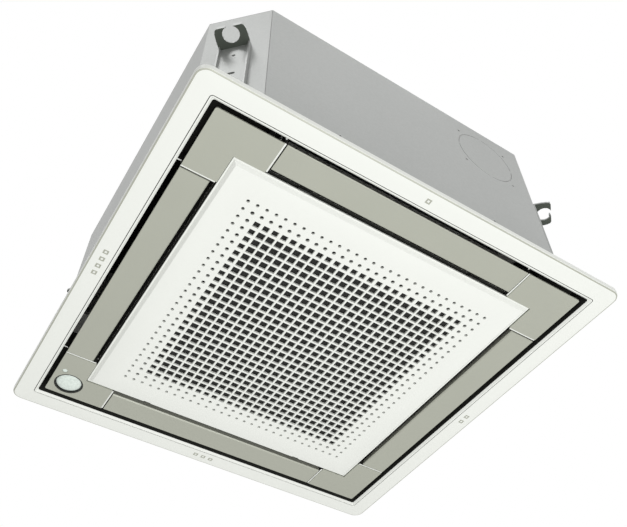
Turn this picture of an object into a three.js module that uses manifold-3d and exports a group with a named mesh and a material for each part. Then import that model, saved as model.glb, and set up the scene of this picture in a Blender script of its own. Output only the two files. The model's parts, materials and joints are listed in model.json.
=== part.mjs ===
// Ceiling cassette air conditioner for a 600 mm ceiling grid: a four-way panel, a casing with
// fan, coil and drain, and four hanger brackets. Millimetres, +Z up. The origin is the centre of
// the panel on the ceiling plane, which is the upper face of the panel's rim.
// "front" is the -Y side, "right" +X, "back" +Y and "left" -X.

import * as THREE from 'three';
import { mergeVertices } from 'three/addons/utils/BufferGeometryUtils.js';
import Module from 'manifold-3d';

const wasm = await Module();
wasm.setup();

// ---------------------------------------------------------------- driving dimensions

const clearance = 0.3;            // between pieces that seat on each other

// Panel frame
const panelSize = 620;            // across the rim
const panelCorner = 15;           // corner radius of the rim
const rimThickness = 8;           // rim below the ceiling plane
const rimEdge = 2.5;              // rounding of the rim's lower edge
const rimWidth = 31;              // from the outside to the recess
const recessBevel = 2.5;          // bevelled lip round the recess
const recessCorner = 3;           // corner radius of the recess
const grooveOffset = 1.5;         // groove outside the bevelled lip
const grooveWidth = 1;
const grooveDepth = 0.6;
const ductHeight = 33;            // panel duct above the ceiling plane
const ductWall = 3;
const ribThickness = 2;           // end wall of an air outlet
const ringFoot = 5;               // underside of the ring round the suction opening
const ringWidth = 18;             // from the suction opening to the outlets
const ringGap = 6.5;              // from that ring's outside to the flaps
const pocketFloor = 26;           // underside of a corner pocket's floor


// Inserts in the recess: flaps and corner covers
const insertGap = 7.5;            // slot between the recess and the inserts
const insertSetBack = 3;          // inserts above the rim's face
const insertThickness = 2;
const coverLength = 87.2;         // a corner cover along each side
const flapWidth = 39;
const flapEndGap = 1.5;           // from the flap's end to the end wall
const flapAxisInset = 4.5;        // flap axis from the flap's inner edge
const flapAxisHeight = 3;         // flap axis above the ceiling plane
const flapSpine = 3.4;            // radius of the spine on the flap axis
const flapPin = 2.2;              // radius of the pivot pins
const pinBore = 2.5;
const pinLength = 7;
const coverSkirt = 1.2;           // stiffening skirt behind a corner cover
const flapMotorRadius = 12;
const flapMotorLength = 16;

// Suction grille and filter
const grilleGap = 8;              // from the base to the flaps
const grilleFaceInset = 6.5;      // front face inside the base
const grilleBaseTop = 1;          // base below the ceiling plane
const grilleStep = 2.5;           // upright edge of the base
const grillePlate = 3;            // thickness of the perforated plate
const grilleBack = 8;             // height of the wall behind the plate
const grilleBackInset = 10;       // wall behind the plate, inside the suction opening
const holePitch = 26;             // every second bar of the fine lattice
const holeSize = 22.4;
const latticeBorder = 48;         // least plain border round the holes
const filterDepth = 6;
const hingeSpacing = 260;         // between the two grille hinges, and the two catches
const hingeInset = 5.5;           // hinge axis from the grille's base edge
const hingeDepth = 2;             // hinge axis below the ceiling plane
const hingePin = 1.8;
const hingeEye = 3.2;             // radius of the eye round the hinge pin
const hingeWidth = 8;
const catchWidth = 18;
const catchTravel = 4;

// Sensor in the back left corner cover
const sensorInset = 26.5;         // centre from the cover's outer edges
const sensorBore = 42;
const sensorDepth = 19;
const receiverBore = 8;
const receiverOffset = [14.5, 24.5];   // from the sensor's centre, outwards and towards the flap

// Casing
const casingInset = 22.5;         // casing inside the rim's outside
const casingChamfer = 65;         // corner cut, along each side
const casingBase = 35;            // casing's lower edge above the ceiling plane
const casingHeight = 260;
const sheet = 1;
const flange = 12;
const linerWall = 10;             // foam liner
const topFoam = 5;
const topRecess = 4;              // stamped recess over the fan motor
const topRecessRadius = 86;
const beadWidth = 14;             // stamped beads in the top plate
const beadReach = 22.5;           // bead's end, on the diagonal, past half the casing's width
const beadDepth = 2.5;

// Fresh air knock-out in the front side
const knockoutRadius = 50;
const knockoutInset = 141.5;      // centre from the casing's right side
const knockoutZ = 222;
const knockoutSlit = 0.8;
const knockoutBridge = 4;         // sheet left across the slit
const pilotRadius = 2;
const pilotSpacing = [87, 80];    // duct collar screws

// Hanger brackets on the chamfers
const bracketWidth = 43;
const bracketSheet = 2.5;
const bracketTop = 192.5;         // upper face of the tab
const bracketBottom = 55;
const bracketFlange = 5;
const tabReach = 31;
const tabTip = 33;                // width of the tab at its tip
const slotMouth = 10;
const slotRadius = 11.5;
const slotCentre = 20.5;          // slot centre out from the chamfer
const tabLip = 5;                 // upturned tip
const bracketHoleZ = 166;
const bracketOvalZ = 116;

// Drain pan
const panHeight = 43;
const panOutletGap = 6;           // outlets through the pan, outside the panel's ring
const panOuterWall = 12.5;        // from those outlets to the casing's outside
const troughGap = 4;              // from the outlets to the trough
const troughWidth = 34;
const troughFloor = 64;
const panShelf = 18;              // from the trough to the square hole over the bellmouth
const panSeat = 16;               // seat of the bellmouth plate
const sumpWall = 25.5;            // from the sump to the casing's outside
const panRecessTop = 58;

// Bellmouth, fan and motor
const bellGap = 2;                // round the plate in its seat
const bellSheet = 2;
const bellMouth = 148;            // radius at the plate
const bellThroat = 120;
const bellHeight = 34;
const fanInlet = 126;             // inner radius of the fan's inlet ring
const fanRadius = 160;
const fanInletZ = 86;
const shroudRise = 30;
const fanBackZ = 236;
const fanSheet = 2.2;
const bladeCount = 7;
const bladeChord = 78;
const bladeThickness = 7;
const bladeSweep = 42;            // backward lean of the chord, degrees
const bladeTwist = 9;             // turn of a blade from shroud to back plate, degrees
const hubRadius = 56;
const hubConeTop = 92;
const hubZ = 184;
const bossRadius = 12;
const bossLength = 10;
const shaftRadius = 4;
const motorRadius = 44;
const motorBottom = 194;
const motorTop = 262;
const motorEarRadius = 56;        // radius of the mounting circle
const motorEar = 3;
const studRadius = 3;
const bushRadius = 8;
const bushNeck = 4.2;
const earHole = 5;
const motorMountCount = 3;

// Coil and pipes
const coilGap = 5;                // from the coil to the trough's outer wall
const coilThickness = 26;
const coilCorner = 60;
const coilTop = 280;
const coilShort = 93;             // coil's two ends short of the back right corner
const returnBends = 4;
const gasPipeRadius = 6.35;
const liquidPipeRadius = 3.2;
const gasHeaderRadius = 9.5;
const gasHeaderOffset = -4;       // header from the middle of the coil's thickness
const liquidHeaderRadius = 6;
const liquidHeaderOffset = 13;
const pipeInset = 119.5;          // pipes from the casing's back side
const gasPipeZ = 130;
const liquidPipeZ = 180;
const pipeReach = 22;             // pipe ends beyond the casing
const pipeCover = [78, 104];      // width and height of the plate round the pipes

// Drain
const pumpInset = [73.5, 81.5];   // from the casing's right and back sides
const pumpTop = 150;
const pumpRadius = 22;
const drainRadius = 13;
const drainInset = 111.5;         // from the casing's right side
const drainZ = 215;
const drainReach = 28;
const floatInset = [39.5, 75.5];  // from the casing's right and back sides
const floatRadius = 9;
const floatTravel = 10;

// Control box below the bellmouth plate
const boxLength = 270;
const boxWidth = 36;
const boxHeight = 40;
const boxInset = 39;              // centre from the suction opening's back edge
const boxSheet = 1.2;
const cableInset = 137.5;         // centre from the casing's left side
const cableZ = 150;
const cableRadius = 14;

// ---------------------------------------------------------------- derived places

const quarter = Math.PI / 2;
const root2 = Math.SQRT2;
const rimHalf = panelSize / 2;
const recessHalf = rimHalf - rimWidth;
const lipHalf = recessHalf + recessBevel;
const insertHalf = recessHalf - insertGap;
const insertFace = -rimThickness + insertSetBack;
const insertBack = insertFace + insertThickness;
const coverStart = insertHalf - coverLength;
const outletHalf = coverStart - clearance - ribThickness;
const flapHalf = outletHalf - flapEndGap;
const flapInner = insertHalf - flapWidth;
const flapAxisR = flapInner + flapAxisInset;
const ringHalf = flapInner - ringGap;
const suctionHalf = ringHalf - ringWidth;
const grilleHalf = flapInner - grilleGap;
const grilleFace = -rimThickness;
const grilleFaceHalf = grilleHalf - grilleFaceInset;
const holeRows = 2 * Math.floor((grilleFaceHalf - latticeBorder) / holePitch - 0.5) + 1;
const plateBack = grilleFace + grillePlate;
const backHalf = suctionHalf - grilleBackInset;
const hingeR = grilleHalf - hingeInset;
const casingHalf = rimHalf - casingInset;
const casingTop = casingBase + casingHeight;
const chamferDistance = (2 * casingHalf - casingChamfer) / root2;
const knockoutX = casingHalf - knockoutInset;
const panOutletInner = ringHalf + panOutletGap;
const panOutletOuter = casingHalf - panOuterWall;
const troughOuter = panOutletInner - troughGap;
const troughInner = troughOuter - troughWidth;
const panOpeningHalf = troughInner - panShelf;
const panSeatHalf = panOpeningHalf + panSeat;
const bellPlateHalf = panSeatHalf - bellGap;
const coilOuter = troughOuter - coilGap;
const coilEnd = coilOuter - coilShort;
const pipeY = casingHalf - pipeInset;
const pumpX = casingHalf - pumpInset[0];
const pumpY = casingHalf - pumpInset[1];
const drainX = casingHalf - drainInset;
const floatX = casingHalf - floatInset[0];
const floatY = casingHalf - floatInset[1];
const boxY = suctionHalf - boxInset;
const cableX = cableInset - casingHalf;
const panTop = casingBase + panHeight;
const bellZ = panRecessTop - bellSheet - clearance;
const coilInner = coilOuter - coilThickness;
const sheetTop = casingTop - sheet;
const recessSheet = sheetTop - topRecess;

// ---------------------------------------------------------------- materials

function finish(color, roughness, metalness) {
  return new THREE.MeshStandardMaterial({ color, roughness, metalness });
}
const whitePlastic = finish(0xe4e6e0, 0.45, 0);
const silverPlastic = finish(0xacaea3, 0.4, 0.2);
const galvanised = finish(0xa6a9a8, 0.45, 0.8);
const bracketSteel = finish(0x8f938f, 0.4, 0.9);
const foam = finish(0xe9e9e6, 0.9, 0);
const darkFoam = finish(0x3a3c3c, 0.95, 0);
const blackPlastic = finish(0x1c1d1b, 0.6, 0);
const filterNet = finish(0x22231f, 0.8, 0);
const fanPlastic = finish(0x6d7173, 0.55, 0);
const motorPaint = finish(0x3d4143, 0.5, 0.4);
const rubber = finish(0x222222, 0.85, 0);
const aluminiumFin = finish(0xb9bec0, 0.35, 0.9);
const copper = finish(0xb8734a, 0.35, 0.9);
const brass = finish(0xc2a35a, 0.35, 0.9);
const domePlastic = finish(0xdfe8e2, 0.3, 0);
const boardGreen = finish(0x2c5a3c, 0.6, 0);

// ---------------------------------------------------------------- solids from three.js geometry

function solid(geometry) {
  const bare = geometry.clone();
  bare.deleteAttribute('normal');
  bare.deleteAttribute('uv');
  const merged = mergeVertices(bare, 1e-4);
  return new wasm.Manifold(new wasm.Mesh({
    numProp: 3,
    vertProperties: new Float32Array(merged.attributes.position.array),
    triVerts: new Uint32Array(merged.index.array),
  }));
}

function toGeometry(body) {
  const mesh = body.getMesh();
  const geometry = new THREE.BufferGeometry();
  geometry.setAttribute('position', new THREE.BufferAttribute(mesh.vertProperties, 3));
  geometry.setIndex(new THREE.BufferAttribute(mesh.triVerts, 1));
  geometry.computeVertexNormals();
  return geometry;
}

function joined(...bodies) {
  return bodies.flat().reduce((sum, body) => sum.add(body));
}

function turned(body, turns) {
  return solid(toGeometry(body).rotateZ(turns * quarter));
}

function allRound(body) {
  return joined([0, 1, 2, 3].map((turns) => turned(body, turns)));
}

function box(x0, x1, y0, y1, z0, z1) {
  const geometry = new THREE.BoxGeometry(x1 - x0, y1 - y0, z1 - z0);
  return solid(geometry.translate((x0 + x1) / 2, (y0 + y1) / 2, (z0 + z1) / 2));
}

// A box on the front side: x along the side, r outwards from the centre.
function sideBox(x0, x1, r0, r1, z0, z1) {
  return box(x0, x1, -r1, -r0, z0, z1);
}

function prism(shape, z0, z1, curveSegments = 6) {
  const geometry = new THREE.ExtrudeGeometry(shape, {
    depth: z1 - z0, bevelEnabled: false, curveSegments,
  });
  return solid(geometry.translate(0, 0, z0));
}

function disc(radius, x, y, z0, z1, sides = 32) {
  const geometry = new THREE.CylinderGeometry(radius, radius, z1 - z0, sides);
  return solid(geometry.rotateX(quarter).translate(x, y, (z0 + z1) / 2));
}

// A round bar along X on the front side.
function barX(radius, x0, x1, r, z, sides = 16) {
  const geometry = new THREE.CylinderGeometry(radius, radius, x1 - x0, sides);
  return solid(geometry.rotateZ(quarter).translate((x0 + x1) / 2, -r, z));
}

function barY(radius, x, y0, y1, z, sides = 24) {
  const geometry = new THREE.CylinderGeometry(radius, radius, y1 - y0, sides);
  return solid(geometry.translate(x, (y0 + y1) / 2, z));
}

function revolved(points, sides) {
  const profile = points.map(([r, z]) => new THREE.Vector2(r, z));
  if (THREE.ShapeUtils.area(profile) < 0) {
    profile.reverse();
  }
  return solid(new THREE.LatheGeometry(profile, sides).rotateX(quarter));
}

function tube(points, radius, sides, steps) {
  const section = new THREE.Shape();
  section.absarc(0, 0, radius, 0, 2 * Math.PI, false);
  const path = new THREE.CatmullRomCurve3(points.map((p) => new THREE.Vector3(...p)), false, 'centripetal');
  return solid(new THREE.ExtrudeGeometry(section, {
    steps, extrudePath: path, curveSegments: sides,
  }));
}

function squareShape(half, corner = 0) {
  const shape = new THREE.Shape();
  if (corner <= 0) {
    shape.moveTo(-half, -half).lineTo(half, -half).lineTo(half, half).lineTo(-half, half);
    return shape;
  }
  const inner = half - corner;
  shape.absarc(inner, inner, corner, 0, quarter);
  shape.absarc(-inner, inner, corner, quarter, 2 * quarter);
  shape.absarc(-inner, -inner, corner, 2 * quarter, 3 * quarter);
  shape.absarc(inner, -inner, corner, 3 * quarter, 4 * quarter);
  return shape;
}

function ring(outer, inner, z0, z1, outerCorner = 0, innerCorner = 0) {
  const hole = prism(squareShape(inner, innerCorner), z0 - 1, z1 + 1, 3);
  return prism(squareShape(outer, outerCorner), z0, z1, 4).subtract(hole);
}

// An octagon inset from the casing's outside.
function octagonShape(inset) {
  const half = casingHalf - inset;
  const cut = casingChamfer - inset * (2 - root2);
  const shape = new THREE.Shape();
  shape.moveTo(half - cut, -half);
  shape.lineTo(half, cut - half).lineTo(half, half - cut).lineTo(half - cut, half);
  shape.lineTo(cut - half, half).lineTo(-half, half - cut).lineTo(-half, cut - half);
  shape.lineTo(cut - half, -half);
  return shape;
}

// A four-sided frustum, square in plan.
function frustum(half0, z0, half1, z1) {
  const geometry = new THREE.CylinderGeometry(half1 * root2, half0 * root2, z1 - z0, 4);
  return solid(geometry.rotateY(Math.PI / 4).rotateX(quarter).translate(0, 0, (z0 + z1) / 2));
}

function place(name, body, material, turns = 0) {
  const mesh = new THREE.Mesh(toGeometry(body), material);
  mesh.name = name;
  mesh.rotation.z = turns * quarter;
  group.add(mesh);
}

// ---------------------------------------------------------------- panel

function rim() {
  const plate = new THREE.ExtrudeGeometry(squareShape(rimHalf - rimEdge, panelCorner - rimEdge), {
    depth: rimThickness, bevelThickness: rimEdge, bevelSize: rimEdge, bevelSegments: 2, curveSegments: 3,
  });
  const slab = solid(plate.translate(0, 0, rimEdge - rimThickness));
  const below = box(-rimHalf, rimHalf, -rimHalf, rimHalf, -rimThickness, 0);
  const grooveHalf = lipHalf + grooveOffset;
  const groove = ring(grooveHalf + grooveWidth, grooveHalf, -rimThickness - 1, grooveDepth - rimThickness,
    recessCorner + grooveWidth, recessCorner);
  const bevel = frustum(lipHalf + 1, -rimThickness - 1, recessHalf, recessBevel - rimThickness);
  const recess = prism(squareShape(recessHalf, recessCorner), -rimThickness - 1, 1, 3);
  return slab.intersect(below).subtract(joined(groove, bevel, recess));
}

// End wall of an outlet: up to the insert's face between cover and flap, higher across the slot.
function outletEnds() {
  const wall = sideBox(outletHalf, outletHalf + ribThickness, ringHalf - 1, recessHalf + 1,
    ringFoot, ductHeight);
  const foot = sideBox(outletHalf, outletHalf + ribThickness, ringHalf + 1, insertHalf,
    insertFace + 1, ringFoot + 1);
  const bush = barX(pinBore + 2, outletHalf + 1, outletHalf + ribThickness + 4, flapAxisR, flapAxisHeight, 10);
  const bore = barX(pinBore, outletHalf - 1, outletHalf + ribThickness + 5, flapAxisR, flapAxisHeight, 8);
  const near = joined(wall, foot, bush).subtract(bore);
  const far = solid(toGeometry(joined(wall, foot)).translate(-2 * outletHalf - ribThickness, 0, 0));
  const farBore = barX(pinBore, -outletHalf - ribThickness - 1, -outletHalf + 1, flapAxisR, flapAxisHeight, 8);
  return joined(near, far.subtract(farBore));
}

// Floor of the front left corner pocket with two posts that carry the corner cover.
function cornerPocket() {
  const start = outletHalf + ribThickness / 2;
  const floor = box(-recessHalf - 1, -start, -recessHalf - 1, -start, pocketFloor, pocketFloor + ductWall);
  const far = insertHalf - 7;
  const near = coverStart + 6;
  const posts = joined(
    disc(4, -far, -near - 18, insertBack + clearance, pocketFloor + 1, 6),
    disc(4, -near - 8, -far, insertBack + clearance, pocketFloor + 1, 6),
  );
  return floor.add(posts);
}

// The two eyes that carry the grille's hinge pins, on the back side.
function hingeEyes() {
  return joined([-1, 1].map((side) => {
    const x = side * hingeSpacing / 2;
    const x0 = x - hingeWidth / 2;
    const x1 = x + hingeWidth / 2;
    const arm = box(x0, x1, hingeR - hingeEye, hingeR + hingeEye, -hingeDepth, ringFoot + 1);
    const eye = barX(hingeEye, x0, x1, -hingeR, -hingeDepth, 12);
    const bore = barX(hingePin + clearance, x0 - 1, x1 + 1, -hingeR, -hingeDepth, 10);
    return joined(arm, eye).subtract(bore);
  }));
}

const catchPostR = backHalf + catchTravel + 0.5;
const catchSill = ringFoot + 6;
const catchTongue = 2.5;

function panelFrame() {
  const duct = ring(recessHalf + ductWall, recessHalf, -rimThickness + rimEdge, ductHeight,
    recessCorner + ductWall, recessCorner);
  const channel = ring(ringHalf, suctionHalf, ringFoot, ductHeight)
    .subtract(ring(ringHalf - ductWall, suctionHalf + ductWall, ringFoot + ductWall, ductHeight + 1));
  const windows = joined([-1, 1].map((side) => {
    const x = side * hingeSpacing / 2;
    return sideBox(x - catchWidth / 2 - 1, x + catchWidth / 2 + 1, suctionHalf - 1,
      suctionHalf + ductWall + 1, catchSill - 0.5, catchSill + catchTongue + 0.6);
  }));
  const pocket = cornerPocket().subtract(ring(ringHalf - 1, 1, 0, ductHeight + 1));
  return joined(rim(), duct, channel, allRound(outletEnds()), allRound(pocket), hingeEyes())
    .subtract(windows);
}

// Profile of a flap in the plane across it: flat face below, a spine round the pivot on top.
function flapProfile() {
  const edge = insertThickness / 2;
  const shape = new THREE.Shape();
  shape.moveTo(flapInner + 1.5, insertFace);
  shape.lineTo(insertHalf - edge, insertFace);
  shape.absarc(insertHalf - edge, insertFace + edge, edge, -quarter, quarter);
  const top = insertFace + insertThickness;
  const shoulder = flapAxisR + flapSpine * Math.cos(1.0);
  shape.quadraticCurveTo(flapAxisR + flapWidth * 0.42, top + 0.3, shoulder,
    flapAxisHeight + flapSpine * Math.sin(1.0));
  shape.absarc(flapAxisR, flapAxisHeight, flapSpine, 1.0, Math.PI + 0.25);
  shape.lineTo(flapInner, insertFace + 1.5);
  shape.lineTo(flapInner + 1.5, insertFace);
  return shape;
}

function flap() {
  const blade = new THREE.ExtrudeGeometry(flapProfile(), {
    depth: 2 * flapHalf, bevelEnabled: false, curveSegments: 4,
  });
  // The profile's x runs outwards and its y up; the extrusion runs along the side.
  const basis = new THREE.Matrix4().makeBasis(
    new THREE.Vector3(0, -1, 0), new THREE.Vector3(0, 0, 1), new THREE.Vector3(-1, 0, 0),
  );
  blade.applyMatrix4(basis).translate(flapHalf, 0, 0);
  const pin = barX(flapPin, -flapHalf - pinLength, flapHalf + pinLength, flapAxisR, flapAxisHeight, 8);
  return joined(solid(blade), pin);
}

// Geared stepping motor with an offset shaft, its face on the outlet's end wall.
function flapMotor() {
  const face = -outletHalf - ribThickness - clearance;
  const centreR = flapAxisR + 4;
  const centreZ = flapAxisHeight + 8;
  const body = barX(flapMotorRadius, face - flapMotorLength, face, centreR, centreZ, 14);
  const ears = sideBox(face - 1.5, face, centreR - 4.5, centreR + 23, centreZ + 4, centreZ + 11);
  const plug = sideBox(face - flapMotorLength - 4, face - 5, centreR + 5, centreR + 15, centreZ - 5, centreZ + 5);
  const socket = barX(pinBore, face - pinLength, face + 1, flapAxisR, flapAxisHeight, 8);
  return joined(body, ears, plug).subtract(socket);
}

function coverShape(inset) {
  const outer = insertHalf - inset;
  const start = coverStart + inset;
  const notch = grilleHalf + 0.9 + inset;
  const radius = Math.max(3 - inset, 0.5);
  const shape = new THREE.Shape();
  shape.moveTo(-start, -outer).lineTo(-start, -notch).lineTo(-notch, -notch);
  shape.lineTo(-notch, -start).lineTo(-outer, -start).lineTo(-outer, radius - outer);
  shape.absarc(radius - outer, radius - outer, radius, 2 * quarter, 3 * quarter);
  return shape;
}

function cornerCover() {
  const face = prism(coverShape(0), insertFace, insertBack, 3);
  const skirt = prism(coverShape(1), insertBack - 1, insertBack + coverSkirt, 3)
    .subtract(prism(coverShape(2.6), insertBack, insertBack + coverSkirt + 1, 3));
  return face.add(skirt);
}

// The back left cover is the front left one turned three quarters, so its sensor is placed
// in the front left corner here.
const sensorX = -insertHalf + sensorInset;
const receiverX = sensorX - receiverOffset[0];
const receiverY = sensorX + receiverOffset[1];

function sensorCover() {
  const radius = sensorBore / 2;
  const collar = disc(radius + 2, sensorX, sensorX, insertBack - 1, insertBack + 5, 20);
  const bore = disc(radius, sensorX, sensorX, insertFace - 1, insertBack + 6, 24);
  const receiver = disc(receiverBore / 2, receiverY, receiverX, insertFace - 1, insertBack + 1, 10);
  return cornerCover().add(collar).subtract(joined(bore, receiver));
}

function sensorHousing() {
  const radius = sensorBore / 2 - clearance;
  const cup = revolved([[0, insertFace + sensorDepth], [radius - 1.5, insertFace + sensorDepth],
    [radius, insertFace + sensorDepth - 1.5], [radius, insertFace + 0.3], [radius - 1.8, insertFace + 0.3],
    [radius - 1.8, insertFace + 5], [radius - 4, insertFace + 5], [radius - 4, insertFace + sensorDepth - 2],
    [0, insertFace + sensorDepth - 2]], 24);
  return solid(toGeometry(cup).translate(sensorX, sensorX, 0));
}

function sensorLens() {
  const radius = sensorBore / 2 - 1.8 - 2 * clearance;
  const rimZ = insertFace + 5 - clearance;
  const apex = insertFace - 0.6;
  const points = [[0, rimZ]];
  const rings = 3;
  for (let i = 0; i <= rings; i += 1) {
    const angle = (i / rings) * quarter;
    points.push([radius * Math.cos(angle), rimZ - 1 - (rimZ - 1 - apex) * Math.sin(angle)]);
  }
  points.splice(1, 0, [radius, rimZ]);
  points[points.length - 1][0] = 0;
  const dome = revolved(points, 24);
  return solid(toGeometry(dome).translate(sensorX, sensorX, 0));
}

function receiverLens() {
  const radius = receiverBore / 2 - clearance;
  const lens = revolved([[0, insertFace - 0.4], [radius * 0.6, insertFace - 0.2], [radius, insertFace + 0.5],
    [radius, insertBack + clearance], [radius + 1.2, insertBack + clearance], [radius + 1.2, insertBack + 2],
    [0, insertBack + 2]], 10);
  return solid(toGeometry(lens).translate(receiverY, receiverX, 0));
}

// Closed-cell foam strip between the panel duct and the drain pan.
function ductSeal() {
  const low = ductHeight;
  const high = casingBase;
  return joined(
    ring(recessHalf + ductWall - 1, recessHalf, low, high),
    ring(ringHalf, suctionHalf, low, high),
    allRound(joined([-1, 1].map((side) => {
      const x = side * (outletHalf + ribThickness / 2);
      return sideBox(x - 1, x + 1, ringHalf - 1, recessHalf + 1, low, high);
    }))),
  );
}

// ---------------------------------------------------------------- suction grille

// Two crossing sets of slots, one in each half of the plate, leave a square lattice.
function gratingSlots() {
  const slots = [];
  const middle = (holeRows - 1) / 2;
  const width = holeSize / 2;
  const reach = middle * holePitch + width;
  const half = (grilleFace + plateBack) / 2;
  for (let i = 0; i < holeRows; i += 1) {
    const at = (i - middle) * holePitch;
    slots.push(box(-reach, reach, at - width, at + width, grilleFace - 1, half));
    slots.push(box(at - width, at + width, -reach, reach, half, plateBack + 1));
  }
  return joined(slots);
}

function grilleHinges() {
  const parts = [];
  for (const side of [-1, 1]) {
    const x = side * hingeSpacing / 2;
    const gap = hingeWidth / 2 + 1.5;
    parts.push({
      pocket: box(x - gap, x + gap, hingeR - hingeEye - 1.2, grilleHalf + 1, grilleFace + 2.2, 10),
      pin: barX(hingePin, x - gap - 1, x + gap + 1, -hingeR, -hingeDepth, 8),
    });
  }
  return parts;
}

function suctionGrille() {
  const base = -grilleBaseTop;
  const border = joined(
    frustum(grilleFaceHalf, grilleFace, grilleHalf - 2, base - grilleStep),
    box(-grilleHalf, grilleHalf, -grilleHalf, grilleHalf, base - grilleStep, base),
  ).subtract(prism(squareShape(backHalf + 14), plateBack, 1));
  const wall = ring(backHalf, backHalf - 2, plateBack - 1, plateBack + grilleBack);
  let body = joined(border, wall, catchRails());
  for (const hinge of grilleHinges()) {
    body = body.subtract(hinge.pocket).add(hinge.pin);
  }
  return body.subtract(gratingSlots());
}

// Lipped rails on both sides of each catch.
function catchRails() {
  const foot = -grilleBaseTop;
  const inner = catchWidth / 2 + clearance;
  const rails = [];
  for (const x of [-hingeSpacing / 2, hingeSpacing / 2]) {
    const block = sideBox(x - inner - 2, x + inner + 2, catchPostR + 5, grilleHalf - 5, foot - 1, foot + 3.8);
    const groove = sideBox(x - inner, x + inner, catchPostR + 4, grilleHalf, foot, foot + 2.6);
    const opening = sideBox(x - inner + 1.8, x + inner - 1.8, catchPostR + 4, grilleHalf, foot + 1, foot + 5);
    rails.push(block.subtract(joined(groove, opening)));
  }
  return joined(rails);
}

// Sliding catch on the grille's front edge: a foot in the rails, a post and a tongue.
function grilleCatch(x) {
  const foot = -grilleBaseTop + clearance;
  const half = catchWidth / 2;
  const postR = catchPostR;
  return joined(
    sideBox(x - half, x + half, postR, grilleHalf + 2, foot, foot + 2),
    sideBox(x - half, x + half, postR, postR + 2.5, foot, catchSill + catchTongue),
    sideBox(x - half, x + half, postR, suctionHalf + ductWall, catchSill, catchSill + catchTongue),
  );
}

const filterHalf = backHalf - 2 - clearance;
const filterFoot = plateBack + clearance;

function filterFrame() {
  const outer = ring(filterHalf, filterHalf - 8, filterFoot, filterFoot + filterDepth);
  const bars = joined([-1, 1].map((i) => joined(
    box(i * 64 - 2, i * 64 + 2, -filterHalf + 1, filterHalf - 1, filterFoot + 2, filterFoot + filterDepth),
    box(-filterHalf + 1, filterHalf - 1, i * 64 - 2, i * 64 + 2, filterFoot + 2, filterFoot + filterDepth),
  )));
  return joined(outer, bars);
}

function filterMesh() {
  const half = filterHalf - 8 - clearance;
  return box(-half, half, -half, half, filterFoot + 0.8, filterFoot + 1.7);
}

// ---------------------------------------------------------------- casing

// One side with the chamfer at its right-hand end, and a flange under the drain pan.
function sidePlate() {
  const gap = clearance / 2;
  const half = casingHalf;
  const cut = casingChamfer;
  const innerCut = cut - sheet * (2 - root2);
  const shape = new THREE.Shape();
  shape.moveTo(cut - half + gap, -half).lineTo(half - cut, -half);
  shape.lineTo(half - gap, cut - half - gap);
  shape.lineTo(half - gap - sheet * root2, cut - half - gap);
  shape.lineTo(half - sheet - innerCut, sheet - half).lineTo(cut - half + gap, sheet - half);
  const wall = prism(shape, casingBase, sheetTop - clearance);
  const foot = sideBox(cut - half + 12, half - cut - 12, half - flange, half - sheet / 2,
    casingBase, casingBase + sheet);
  return wall.add(foot);
}

// A round slit with four bridges and the pilot holes of the duct collar.
function knockoutHoles() {
  const y0 = -casingHalf - 2;
  const y1 = -casingHalf + 3;
  const reach = knockoutRadius + 2;
  const half = knockoutBridge / 2;
  const slit = barY(knockoutRadius, knockoutX, y0, y1, knockoutZ, 28)
    .subtract(barY(knockoutRadius - knockoutSlit, knockoutX, y0 - 1, y1 + 1, knockoutZ, 28))
    .subtract(box(knockoutX - reach, knockoutX + reach, y0, y1, knockoutZ - half, knockoutZ + half))
    .subtract(box(knockoutX - half, knockoutX + half, y0, y1, knockoutZ - reach, knockoutZ + reach));
  const holes = [slit];
  for (const sx of [-1, 1]) {
    for (const sz of [-1, 1]) {
      holes.push(barY(pilotRadius, knockoutX + sx * pilotSpacing[0] / 2, y0, y1,
        knockoutZ + sz * pilotSpacing[1] / 2, 6));
    }
  }
  return joined(holes);
}

// Holes in a plate's own frame: the right side is turned once, the back side twice.
function pipeHole() {
  const [width, height] = pipeCover;
  const middle = (gasPipeZ + liquidPipeZ) / 2;
  return sideBox(pipeY - width / 2 + 9, pipeY + width / 2 - 9, casingHalf - linerWall - 4, casingHalf + 2,
    middle - height / 2 + 9, middle + height / 2 - 9);
}

function backHoles() {
  return joined(
    barY(drainRadius + 1.5, -drainX, -casingHalf - 2, -casingHalf + 3, drainZ, 16),
    barY(cableRadius - 2, -cableX, -casingHalf - 2, -casingHalf + 3, cableZ, 16),
  );
}

function topPlate() {
  const plate = prism(octagonShape(0), sheetTop, casingTop);
  const lip = prism(octagonShape(sheet + clearance), sheetTop - flange, sheetTop + 0.5)
    .subtract(prism(octagonShape(2 * sheet + clearance), sheetTop - flange - 1, sheetTop + 1));
  const hole = disc(topRecessRadius, 0, 0, sheetTop - 1, casingTop + 1, 28);
  const wall = disc(topRecessRadius + sheet, 0, 0, recessSheet, sheetTop + 0.5, 28)
    .subtract(disc(topRecessRadius, 0, 0, recessSheet + sheet, casingTop + 1, 28));
  const beads = allRound(bead());
  const beadTrays = allRound(bead(sheet));
  return joined(plate.subtract(beads), lip)
    .subtract(hole)
    .add(beadTrays.subtract(beads))
    .add(wall);
}

// A stamped bead from the recess towards a corner.
function bead(wall = 0) {
  const half = beadWidth / 2 + wall;
  const start = topRecessRadius + 22 - wall;
  const end = casingHalf + beadReach + wall;
  const depth = sheetTop - beadDepth + sheet - wall;
  const shape = new THREE.Shape();
  shape.absarc(start + half, 0, half, quarter, 3 * quarter);
  shape.absarc(end - half, 0, half, -quarter, quarter);
  const body = toGeometry(prism(shape, depth, wall ? sheetTop + 0.5 : casingTop + 1, 2));
  return solid(body.rotateZ(Math.PI / 4));
}

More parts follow.
